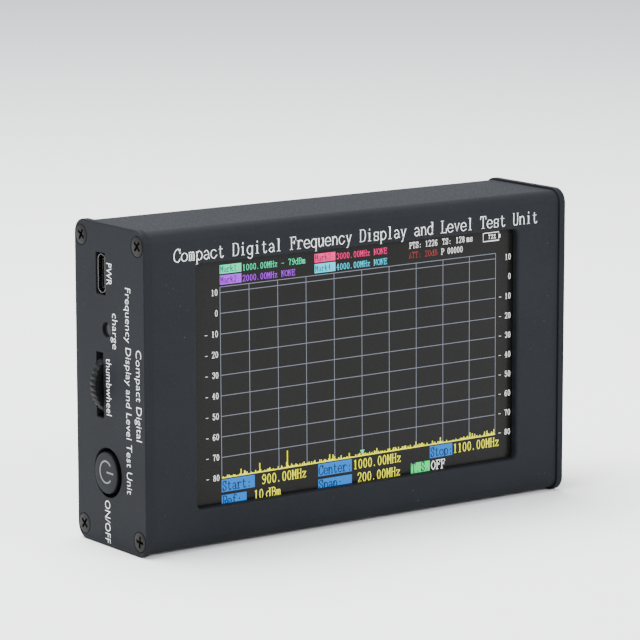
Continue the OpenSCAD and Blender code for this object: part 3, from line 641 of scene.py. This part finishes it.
def make_plates():
    left_holes = [
        (rounded_rect(*PORT_CUTOUT, 0.35, 3), (PORT.y, PORT.z)),
        (rounded_rect(*WHEEL_SLOT, 0.3, 3), (WHEEL.y, WHEEL.z)),
        (circle(LIGHT_HOLE_R), (LIGHT.y, LIGHT.z)),
        (circle(BUTTON_HOLE_R, 72), (BUTTON.y, BUTTON.z)),
    ]
    make_plate("left_plate", "end_plate_left", LEFT_X, LEFT_X + PLATE_T, left_holes)
    right_holes = [(circle(JACK_HOLE_R), (jack.y, jack.z)) for jack in JACKS.values()]
    make_plate("right_plate", "end_plate_right", RIGHT_X, RIGHT_X - PLATE_T, right_holes)


def make_screws(name, node, face_x, way):
    """Four countersunk cross-head screws; way is the direction they go in."""
    screws, crosses = bmesh.new(), bmesh.new()
    top = face_x + way * SCREW_SINK
    rim, band, run_out, tip_r = 0.12, 0.06, 0.2, 0.7
    turns, crest = 9, 0.16

    def station(depth):
        return top + way * depth

    profile = [(station(0), AXIS_R), (station(0), SCREW_HEAD_R - rim)]
    profile += [(station(rim * (1 - math.cos(t))), SCREW_HEAD_R - rim + rim * math.sin(t))
                for t in (0.5, 1.05, math.pi / 2)]
    profile += [(station(rim + band), SCREW_HEAD_R), (station(SCREW_HEAD_H), SCREW_SHANK_R)]
    thread_l = SCREW_L - SCREW_HEAD_H - 0.5
    for k in range(turns * 2):
        depth = SCREW_HEAD_H + run_out + k * thread_l / (turns * 2)
        profile.append((station(depth), SCREW_SHANK_R - crest * (k % 2)))
    profile += [(station(SCREW_L - run_out), SCREW_SHANK_R - crest), (station(SCREW_L), tip_r),
                (station(SCREW_L), AXIS_R)]
    reach, half, deep = 1.4, 0.32, 0.85
    cross = [(reach, half), (half, half), (half, reach),
             (-half, reach), (-half, half), (-reach, half),
             (-reach, -half), (-half, -half), (-half, -reach),
             (half, -reach), (half, -half), (reach, -half)]
    for index, (y, z) in enumerate(SCREW_PLACES):
        lathe(screws, profile, (y, z), "X", 40)
        spin = Matrix.Rotation(math.radians(SCREW_TURNS[index]), 2)
        rings = []
        for depth, grow in ((-0.3, 1.08), (0.1, 1.0), (deep, 0.55)):
            turned = [spin @ Vector(p) * grow for p in cross]
            rings.append([(station(depth), y + p.x, z + p.y) for p in turned])
        loft(crosses, rings)
    piece(name, carve(screws, crosses), "screw_steel", replaced=[node])


# ---- Screen ----

DOT = 0.117  # pitch of the display's dots
SCREEN_DOTS = (800, 480)
SCREEN_TURN = math.radians(0.3)  # the display sits a hair out of square
SMALL_TEXT = (8 * DOT, 1.35, 0.12, 0.09)  # pitch, capital height, upright and level stroke
LARGE_TEXT = (12 * DOT, 2.1, 0.19, 0.13)
GRID_LEFT, GRID_TOP = 75, 62.7  # dots from the display's upper left corner
GRID_COLUMNS, GRID_ROWS = 10, 9
COLUMN, ROW = 67.4, 40.4  # dots from one grid line to the next

GRID_LINE = 0.13  # width of the grid's lines
CAP_LINE = 11  # dots from the grid up to the line that closes it
TRACE_STEP = 2.0  # dots to one value of the trace
TAG_TEXT = (0.96, 1.0, 1.3, 1.3)  # a tag's name is set closer and bolder than a reading

SCREEN_INKS = {  # glow of each colour
    "grid": (0.4, 0.43, 0.56), "white": (2.2, 2.2, 2.2), "yellow": (2.0, 2.0, 0.002),
    "mint": (0.02, 1.7, 0.8), "pink": (2.1, 0.02, 0.42), "purple": (0.85, 0.006, 1.9),
    "cyan": (0.01, 1.5, 2.0), "red": (0.6, 0.05, 0.04), "blue": (0.002, 0.3, 1.1),
    "green": (0.01, 1.4, 0.3), "shade": (0.003, 0.035, 0.1),
}


def dots(across, down):
    """Millimetres from the screen's centre of a place given in dots from its upper left corner."""
    return Vector(((across - SCREEN_DOTS[0] / 2) * DOT, (SCREEN_DOTS[1] / 2 - down) * DOT))


class Picture:
    """Collects the lit picture, one mesh for each colour."""

    def __init__(self):
        self.sheet = Sheet((0, GLASS_LO.y, WINDOW_Z), (1, 0, 0), (0, 0, 1), SCREEN_TURN)
        self.meshes = {ink: bmesh.new() for ink in SCREEN_INKS}

    def words(self, ink, text, across, down, style):
        write(self.meshes[ink], self.sheet, text, dots(across, down), *style)

    def patch(self, ink, left, top, right, bottom, high=INK_T / 2):
        low_left, top_right = dots(left, bottom), dots(right, top)
        flat_box(self.meshes[ink], self.sheet, (low_left.x, top_right.x), (low_left.y, top_right.y), high)

    def line(self, ink, points, width):
        ribbon(self.meshes[ink], self.sheet, [dots(*p) for p in points], width, width, 0.0, INK_T / 2)

    def tag(self, ink, text, left, top, right, bottom, style, lift):
        """A filled box with its name in the box's shade; lift is the name's height over the box's foot."""
        self.patch(ink, left, top, right, bottom)
        bold = [size * share for size, share in zip(style, TAG_TEXT)]
        self.words("shade", text, left + 1, bottom - lift, bold)


def draw_grid(picture):
    right, bottom = GRID_LEFT + GRID_COLUMNS * COLUMN, GRID_TOP + GRID_ROWS * ROW
    top_line = GRID_TOP - CAP_LINE
    left_names, right_names, drop = GRID_LEFT - 37, right + 8, 4.5
    for row in range(GRID_ROWS + 1):
        level = GRID_TOP + row * ROW
        picture.line("grid", [(GRID_LEFT, level), (right, level)], GRID_LINE)
        value = 10 - 10 * row
        name = f"- {-value}" if value < 0 else f"{value:4d}"
        picture.words("white", name, left_names, level + drop, SMALL_TEXT)
        picture.words("white", name, right_names, level + drop, SMALL_TEXT)
    picture.line("grid", [(GRID_LEFT, top_line), (right, top_line)], GRID_LINE)
    for column in range(GRID_COLUMNS + 1):
        place = GRID_LEFT + column * COLUMN
        picture.line("grid", [(place, top_line), (place, bottom)], GRID_LINE)


def draw_trace(picture):
    """The noise floor along the bottom line, with a few weak signals; seeded, so always the same."""
    chance = random.Random(7)
    floor = GRID_TOP + GRID_ROWS * ROW
    peaks = {0.66: 0.28, 0.8: 0.18, 1.33: 0.42, 2.3: 0.82, 3.82: 0.3, 3.92: 0.26, 5.0: 0.12, 7.0: 0.24,
             7.9: 0.27, 9.05: 0.27, 9.6: 0.2, 9.97: 0.25}  # column: height in rows
    count = int(GRID_COLUMNS * COLUMN / TRACE_STEP)
    heights = [max(0.0, chance.gauss(0.0, 0.085)) for _ in range(count)]
    for place, height in peaks.items():
        index = min(int(place * COLUMN / TRACE_STEP), count - 1)
        heights[index] = height
        heights[max(index - 1, 0)] += 0.35 * height * chance.random()
    for index, height in enumerate(heights):
        left = GRID_LEFT + index * TRACE_STEP
        top = floor - 0.6 - height * ROW
        picture.patch("yellow", left, top, left + TRACE_STEP, floor + 1.4, INK_T)
    tip = dots(GRID_LEFT + GRID_COLUMNS / 2 * COLUMN, floor - 1)
    half, tall = 0.62, 1.2  # of the mark that points at the centre
    corners = [tip, tip + Vector((half, tall)), tip + Vector((-half, tall))]
    mark = [[picture.sheet.at(c, height) for c in corners] for height in (0.0, 1.5 * INK_T)]
    loft(picture.meshes["mint"], mark)


def draw_readings(picture):
    """The rows of readings over and under the grid."""
    rows = ((9.5, 26.5), (29.5, 47.5))
    left_edges = (75, 298)
    markers = (("mint", "1", "1000.00MHz - 79dBm", 0, 0), ("pink", "3", "3000.00MHz NONE", 1, 0),
               ("purple", "2", "2000.00MHz NONE", 0, 1), ("cyan", "4", "4000.00MHz NONE", 1, 1))
    for ink, number, reading, column, row in markers:
        left = left_edges[column]
        top, bottom = rows[row]
        picture.tag(ink, f"Mark{number}:", left, top, left + 50, bottom, SMALL_TEXT, 3)
        picture.words(ink, reading, left + 52, bottom - 1.5, (8.3 * DOT, *SMALL_TEXT[1:]))
    upper, lower = 20.8, 40.5
    counts = (("PTS: 1226", 529, upper), ("TS:", 612, upper), ("128", 646, upper),
              ("ms", 674, upper), ("P 00000", 609, lower))
    for text, left, level in counts:
        picture.words("white", text, left, level, SMALL_TEXT)
    picture.words("red", "ATT: 20dB", 528, lower, SMALL_TEXT)
    left, right, top, bottom = 717, 757, 8, 25  # the battery's sign
    outline = [(left, top), (right, top), (right, bottom), (left, bottom), (left, top)]
    picture.line("white", outline, 0.16)
    picture.patch("white", right, top + 5, right + 4, bottom - 5)
    picture.words("white", "72%", left + 12, bottom - 4.5, (7 * DOT, 0.95, 0.13, 0.1))

    upper, lower = (430, 455, 3), (461, 480, -1)  # top, bottom and lift of the names' boxes
    settings = (("Start:", 74, 152, upper), ("Center:", 304, 386, upper), ("Stop:", 581, 638.5, upper),
                ("Ref:", 74, 132.5, lower), ("Span:", 304, 386, lower))
    for name, left, right, (top, bottom, lift) in settings:
        picture.tag("blue", name, left, top, right, bottom, LARGE_TEXT, lift)
    picture.tag("green", "T.S.", 533.5, 459, 581, 480, LARGE_TEXT, 2)
    upper, lower = 451.5, 479.5
    values = (("900.00MHz", 168, upper), ("1000.00MHz", 389, upper), ("1100.00MHz", 640, upper),
              ("10", 149, lower), ("dBm", 178, lower), ("200.00MHz", 399, lower))
    for text, left, level in values:
        picture.words("yellow", text, left, level, LARGE_TEXT)
    picture.words("white", "OFF", 584, 479, LARGE_TEXT)


def make_screen():
    glass = bmesh.new()
    box(glass, *zip(GLASS_LO, GLASS_HI), 0.12)
    piece("display_glass", glass, "screen_glass", replaced=["lcd_glass"])
    picture = Picture()
    draw_grid(picture)
    draw_trace(picture)
    draw_readings(picture)
    for ink, mesh in picture.meshes.items():
        piece(f"picture_{ink}", mesh, "screen_glass", material=lit_ink(f"lit_{ink}", SCREEN_INKS[ink]))


# ---- Port, light, button and wheel ----

def make_port():
    shell, hollow = bmesh.new(), bmesh.new()
    width, height = PORT_HI.y - PORT_LO.y, PORT_HI.z - PORT_LO.z
    centre = (PORT.y, PORT.z)
    prism(shell, rounded_rect(width, height, 1.5, 8),
          rounded_ends(PORT_LO.x, PORT_HI.x, 0.1, 0.05), "X", centre)
    prism(hollow, rounded_rect(width - 2 * PORT_WALL, height - 2 * PORT_WALL, 1.2, 8),
          flared_hole(PORT_LO.x, PORT_HI.x - PORT_WALL, 0.09), "X", centre)
    piece("port_shell", carve(shell, hollow), "port_steel", replaced=["usb_shell"])

    block_l, thick, wide, lip, raised = 1.4, 0.7, 6.69, 0.3, 0.07
    tongue = bmesh.new()
    prism(tongue, rounded_rect(TONGUE_HI.y - TONGUE_LO.y, TONGUE_HI.z - TONGUE_LO.z, 1.18, 8),
          rounded_ends(TONGUE_HI.x - block_l, TONGUE_HI.x, 0.05, 0.05), "X", centre)
    around = (PORT.z - wide / 2, PORT.z + wide / 2)
    blade_end, lip_end = TONGUE_HI.x - block_l + 0.5, TONGUE_LO.x + lip
    for end, half, edge in ((blade_end, thick / 2, 0.06), (lip_end, thick / 2 + raised, 0.1)):
        box(tongue, (TONGUE_LO.x, end), (PORT.y - half, PORT.y + half), around, edge)
    piece("port_tongue", tongue, "black_plastic", replaced=["usb_tongue"], material=PORT_PLASTIC)


def make_light():
    face_r, flange_r = LIGHT_HOLE_R - 0.1, (LIGHT_HI.z - LIGHT_LO.z) / 2
    dome, edge, flange_t = 0.05, 0.25, 0.9
    flange_x = LIGHT_HI.x - flange_t
    profile = [(LIGHT_LO.x, AXIS_R), (LIGHT_LO.x + 0.03, face_r * 0.5)]
    profile += arc_profile(LIGHT_LO.x + dome + edge, face_r - edge, edge, 180, 90)
    profile += [(flange_x, face_r), (flange_x, flange_r), (LIGHT_HI.x, flange_r), (LIGHT_HI.x, AXIS_R)]
    pipe = bmesh.new()
    lathe(pipe, profile, (LIGHT.y, LIGHT.z), "X", 48)
    piece("charge_light", pipe, "light_pipe", replaced=["charge_light_pipe"])


def make_button():
    edge, wall, boss_r, face_t, step = 0.2, 1.0, 2.7, 0.25, 0.12
    front, back = BUTTON_LO.x, BUTTON_HI.x
    face = bmesh.new()
    face_r = BUTTON_R - step
    profile = [(front + 0.03, AXIS_R), (front + 0.02, BUTTON_R * 0.6)]
    profile += arc_profile(front + edge, face_r - edge, edge, 180, 90, 5)
    profile += [(front + face_t, face_r), (front + face_t, AXIS_R)]
    lathe(face, profile, (BUTTON.y, BUTTON.z), "X", 96)
    piece("button_face", face, "button_plastic", "power_button")

    profile = [(front + face_t, AXIS_R), (front + face_t, BUTTON_R - edge)]
    profile += arc_profile(front + face_t + edge, BUTTON_R - edge, edge, 180, 90, 5)
    profile += [(back - 0.1, BUTTON_R), (back, BUTTON_R - 0.1), (back, BUTTON_R - wall),
                (front + wall, BUTTON_R - wall), (front + wall, boss_r),
                (back - 1, boss_r), (back - 1, AXIS_R)]
    cap, socket = bmesh.new(), bmesh.new()
    lathe(cap, profile, (BUTTON.y, BUTTON.z), "X", 96)
    play = 0.02
    box(socket, (PLUNGER_LO.x - 0.05, back + PAST), (PLUNGER_LO.y - play, PLUNGER_HI.y + play),
        (PLUNGER_LO.z - play, PLUNGER_HI.z + play), 0.05)
    # The cap's rim and side take the near-black copy, painted shade of the gap round the button; the face
    # keeps the button's own plastic
    piece("button_cap", carve(cap, socket), "button_plastic", "power_button", ["power_button_cap"],
          material=SKIRT_PAINTED_SHADE)

    ring_r, stroke, gap, rise = 2.5, 0.36, math.radians(42), 0.22
    face = Sheet((front + 0.05, BUTTON.y, BUTTON.z + rise), (0, 0, -1), (0, -1, 0))
    symbol = bmesh.new()
    turns = [math.pi / 2 + gap + (2 * math.pi - 2 * gap) * k / 36 for k in range(37)]
    ring = [Vector((ring_r * math.cos(t), ring_r * math.sin(t))) for t in turns]
    for path in (ring, [Vector((0, 0.3)), Vector((0, 3.1))]):
        ribbon(symbol, face, path, stroke, stroke, -0.02, 0.05)
    piece("button_symbol", symbol, "button_plastic", "power_button", material=SYMBOL_INK)


def make_wheel():
    grooves, groove_depth, rim = 36, 0.26, 0.3
    low, high = WHEEL_LO.y, WHEEL_HI.y
    hub_r, dish_r, dish = 1.05, WHEEL_R - 1.4, 0.25

    def ridged(place, radius, angle):
        """Scallops round the rim, fading out towards the hub."""
        near_rim = max(0.0, (radius - WHEEL_R + 0.8) / 0.8)
        return radius - groove_depth * near_rim * (0.5 + 0.5 * math.cos(angle * grooves)) ** 2

    profile = [(low, hub_r), (low, 2.2), (low + dish, 2.5), (low + dish, dish_r - 0.3), (low, dish_r)]
    profile += [(low, WHEEL_R - rim)] + arc_profile(low + rim, WHEEL_R - rim, rim, 180, 90, 3)
    profile += arc_profile(high - rim, WHEEL_R - rim, rim, 90, 0, 3)
    profile += [(high, dish_r), (high - dish, dish_r - 0.3), (high - dish, 2.5), (high, 2.2), (high, hub_r)]
    wheel = bmesh.new()
    lathe(wheel, profile, (WHEEL.x, WHEEL.z), "Y", grooves * 8, ridged)
    piece("ridged_wheel", wheel, "wheel_plastic", "jog_wheel", ["track_wheel"])


# ---- Springs ----

def coil(bm, x, centre, r, wire_r, turns):
    """A coil of round wire between two X values."""
    steps, sides = 24, 8
    free = x[1] - x[0] - 2 * wire_r
    rings = []
    for k in range(turns * steps + 1):
        turn = 2 * math.pi * k / steps
        place = x[0] + wire_r + free * k / (turns * steps)
        section = [(wire_r * math.sin(a), r + wire_r * math.cos(a))
                   for a in (2 * math.pi * side / sides for side in range(sides))]
        rings.append([(place + run, centre[0] + out * math.cos(turn), centre[1] + out * math.sin(turn))
                      for run, out in section])
    loft(bm, rings)


def make_spring(name, node, pusher, wire_r, turns, count=1):
    """Coil springs in a node's place, drawn at the node's full length."""
    lo, hi = node_box(node)
    outer_r = (hi.y - lo.y) / 2
    play = 0.04
    springs = bmesh.new()
    for z in (lo.z + outer_r, hi.z - outer_r)[:count]:
        coil(springs, (lo.x + play, hi.x), ((lo.y + hi.y) / 2, z), outer_r - wire_r, wire_r, turns)
    ends = [Vector((x * MM, 0, 0)) for x in (lo.x + play, hi.x)]
    piece(name, springs, "spring_wire", (pusher, "case", *ends), [node])


# ---- Coaxial jacks ----

THREAD_PITCH = 25.4 / 36
THREAD_R = 3.175
ROOT_R = 2.8
JACK_BORE_R = 2.08
JACK_GAP = 0.3  # from a jack's block to the right plate
BLOCK_END = -LEFT_X - PLATE_T - JACK_GAP


def make_barrel(barrel, jack, tip):
    """A jack's threaded barrel, open at its tip."""
    mouth_r, mouth_depth, chamfer, sharp, rings = 2.35, 1.9, 0.35, 0.08, 48
    start = NUT_HI.x

    def threaded(place, radius, angle):
        if radius < THREAD_R - 0.01 or place < start:
            return radius
        phase = ((place - start) / THREAD_PITCH - angle / (2 * math.pi)) % 1.0
        fade = min(1.0, (tip - place) / (2 * chamfer))
        return THREAD_R - (THREAD_R - ROOT_R) * abs(2 * phase - 1) * fade - chamfer * (1 - fade)

    outer = [(start + (tip - start) * k / rings, THREAD_R) for k in range(rings + 1)]
    profile = [(BLOCK_END - 1, ROOT_R), (start - 0.01, ROOT_R)] + outer
    profile += [(tip, mouth_r + sharp), (tip - sharp, mouth_r), (tip - mouth_depth, mouth_r),
                (tip - mouth_depth, JACK_BORE_R), (BLOCK_END - 1, JACK_BORE_R)]
    lathe(barrel, profile, (jack.y, jack.z), "X", 64, threaded)


def make_block(jack, lo, hi):
    """A jack's drilled square block and the four legs that straddle the board."""
    block_l, lap, leg_y, leg_z = 4.5, 0.2, 1.4, 1.6
    half = (hi.z - lo.z) / 2
    block, bore = bmesh.new(), bmesh.new()
    box(block, (BLOCK_END - block_l, BLOCK_END), (jack.y - half, jack.y + half), (lo.z, hi.z), 0.2)
    for y in ((lo.y, lo.y + leg_y), (BOARD_HI.y, BOARD_HI.y + leg_y)):
        for z in ((lo.z, lo.z + leg_z), (hi.z - leg_z, hi.z)):
            box(block, (lo.x, BLOCK_END - block_l + lap), y, z, 0.1)
    through = [(0, BLOCK_END - block_l - 0.5), (0, BLOCK_END + PAST)]
    prism(bore, circle(JACK_BORE_R + 0.3), through, "X", (jack.y, jack.z))
    return carve(block, bore)


def make_jacks():
    for node, jack in JACKS.items():
        lo, hi = node_box(node)
        body = bmesh.new()
        make_barrel(body, jack, hi.x)
        block = as_mesh("block", make_block(jack, lo, hi))
        body.from_mesh(block)
        bpy.data.meshes.remove(block)
        piece(node.replace("_body", "_jack"), body, "gold_plate", replaced=[node])


def make_nuts():
    nuts = bmesh.new()
    flats, bore_r, chamfer, countersink = 8.0, 2.85, 0.55, 0.15
    bore_limit = 3.3  # points nearer the axis than this are the bore's

    def hexagonal(place, radius, angle):
        """A hexagon whose corners are turned off at both faces."""
        if radius < bore_limit:
            return radius
        corner = (angle + math.pi / 6) % (math.pi / 3) - math.pi / 6
        edge = min(place - NUT_LO.x, NUT_HI.x - place)
        return min(flats / 2 / math.cos(corner), flats / 2 - 0.1 + edge * chamfer / 0.3)

    depths = [0, 0.1, 0.2, 0.3, 0.45]
    places = [NUT_LO.x + d for d in depths] + [NUT_HI.x - d for d in depths[::-1]]
    profile = [(NUT_LO.x + countersink, bore_r), (NUT_LO.x, bore_r + countersink)]
    profile += [(x, flats) for x in places]
    profile += [(NUT_HI.x, bore_r + countersink), (NUT_HI.x - countersink, bore_r)]
    for jack in JACKS.values():
        lathe(nuts, profile, (jack.y, jack.z), "X", 96, hexagonal)
    piece("jack_nuts", nuts, "gold_plate", replaced=["sma_nuts"])


# ---- Printing ----

TITLE = "Compact Digital Frequency Display and Level Test Unit"
TITLE_SPAN = (-51.9, 51.9)
TITLE_BASE, TITLE_CAP = 66.45, 2.8


def make_title():
    title = bmesh.new()
    face = Sheet((0, FRONT_Y, 0), (1, 0, 0), (0, 0, 1))
    pitch = (TITLE_SPAN[1] - TITLE_SPAN[0]) / len(TITLE)
    write(title, face, TITLE, (TITLE_SPAN[0], TITLE_BASE), pitch, TITLE_CAP, 0.21, 0.12)
    piece("title_lettering", title, "tube_coating", material=LABEL_INK)


# Words on the left plate: text, height on which it starts, place of its baseline, length
PLATE_WORDS = (
    ("PWR", 65.2, 1.0, 4.9),
    ("charge", 54.1, -1.25, 8.1),
    ("thumbwheel", 43.5, 1.56, 13.0),
    ("ON/OFF", 10.7, 2.7, 9.8),
    ("Compact Digital", 47.2, -10.9, 20.6),
    ("Frequency Display and Level Test Unit", 60.6, -6.7, 46.8),
)
PLATE_CAP = 2.3
FONT_CAP = 0.72  # capitals' height in the built-in font of size 1
THINNER = -0.04  # brings the font's strokes in


def make_plate_words():
    """Sans-serif words that read downwards, with the letters' tops towards the screen side."""
    words = bmesh.new()
    for text, start_z, base_y, length in PLATE_WORDS:
        curve = bpy.data.curves.new("words", "FONT")
        curve.body = text
        curve.size = PLATE_CAP / FONT_CAP
        curve.offset = THINNER
        curve.extrude = INK_T / 2
        curve.resolution_u = 3
        holder = in_scene("words", curve)
        bpy.context.view_layer.update()
        flat = holder.evaluated_get(bpy.context.evaluated_depsgraph_get())
        mesh = bpy.data.meshes.new_from_object(flat)
        across = [v.co.x for v in mesh.vertices]
        squeeze = length / (max(across) - min(across))
        top_z = start_z + min(across) * squeeze
        mesh.transform(Matrix(((0, 0, -1, LEFT_X), (0, -1, 0, base_y), (-squeeze, 0, 0, top_z),
                               (0, 0, 0, 1))))
        words.from_mesh(mesh)
        bpy.data.objects.remove(holder)
        bpy.data.curves.remove(curve)
        bpy.data.meshes.remove(mesh)
    piece("plate_lettering", words, "plate_coating", material=LABEL_INK)


# ---- Nodes that keep their CAD shape ----

def dress_cad_nodes():
    for name, node in frame["nodes"].items():
        node.data.materials.clear()
        node.data.materials.append(MATERIALS[SLOT_OF[name]])


# ---- Studio ----

CAMERA_PLACE = Vector((-0.45949, -0.63952, 0.18464))
CAMERA_YAW, CAMERA_PITCH, CAMERA_ROLL = 35.576, 9.971, -0.066
CAMERA_LENS = 192.17


def aim(obj, place, target, roll=0.0):
    way = (Vector(target) - Vector(place)).normalized()
    turn = way.to_track_quat("-Z", "Y").to_matrix().to_4x4()
    obj.matrix_world = Matrix.Translation(place) @ turn @ Matrix.Rotation(roll, 4, "Z")


def make_camera():
    data = bpy.data.cameras.new("camera")
    data.lens, data.sensor_width, data.clip_start = CAMERA_LENS, 36.0, 0.01
    camera = in_scene("camera", data)
    yaw, pitch = math.radians(CAMERA_YAW), math.radians(CAMERA_PITCH)
    way = Vector((math.sin(yaw) * math.cos(pitch), math.cos(yaw) * math.cos(pitch), -math.sin(pitch)))
    aim(camera, CAMERA_PLACE, CAMERA_PLACE + way, math.radians(CAMERA_ROLL))
    bpy.context.scene.camera = camera


def area_light(name, place, target, size, power, colour=(1, 1, 1)):
    data = bpy.data.lights.new(name, "AREA")
    data.shape, data.size, data.size_y = "RECTANGLE", *size
    data.energy, data.color = power, colour
    aim(in_scene(name, data), place, target)


def make_studio():
    floor = bmesh.new()
    bmesh.ops.create_grid(floor, x_segments=8, y_segments=8, size=3.0)
    made = in_scene("floor", as_mesh("floor", floor))
    paper = grainy("floor_paper", (0.9, 0.905, 0.91), (0.94, 0.94, 0.94), (0.8, 0.9), 0.6, 0.02)
    made.data.materials.append(paper)
    world = bpy.data.worlds.new("studio")
    world.use_nodes = True
    background = world.node_tree.nodes["Background"]
    background.inputs["Color"].default_value = (0.86, 0.9, 0.95, 1)
    background.inputs["Strength"].default_value = 1.0
    bpy.context.scene.world = world
    heart = (0, 0, 0.04)
    area_light("top_softbox", (-0.15, 0.25, 1.0), heart, (1.0, 0.7), 36)
    area_light("left_softbox", (-1.1, -0.1, 0.5), heart, (0.8, 0.8), 4.2, (0.95, 0.98, 1.0))
    area_light("front_softbox", (0.5, -1.2, 0.7), heart, (0.9, 0.7), 19)


make_camera()
make_studio()
dress_cad_nodes()
make_shell()
make_plates()
make_screws("left_screws", "left_plate_screws", LEFT_X, 1)
make_screws("right_screws", "right_plate_screws", RIGHT_X, -1)
make_screen()
make_port()
make_light()
make_button()
make_wheel()
make_spring("button_return_spring", "power_switch_spring", "power_button", 0.15, 4)
make_spring("carriage_return_springs", "carriage_springs", "wheel_carriage", 0.08, 3, count=2)
make_jacks()
make_nuts()
make_title()
make_plate_words()
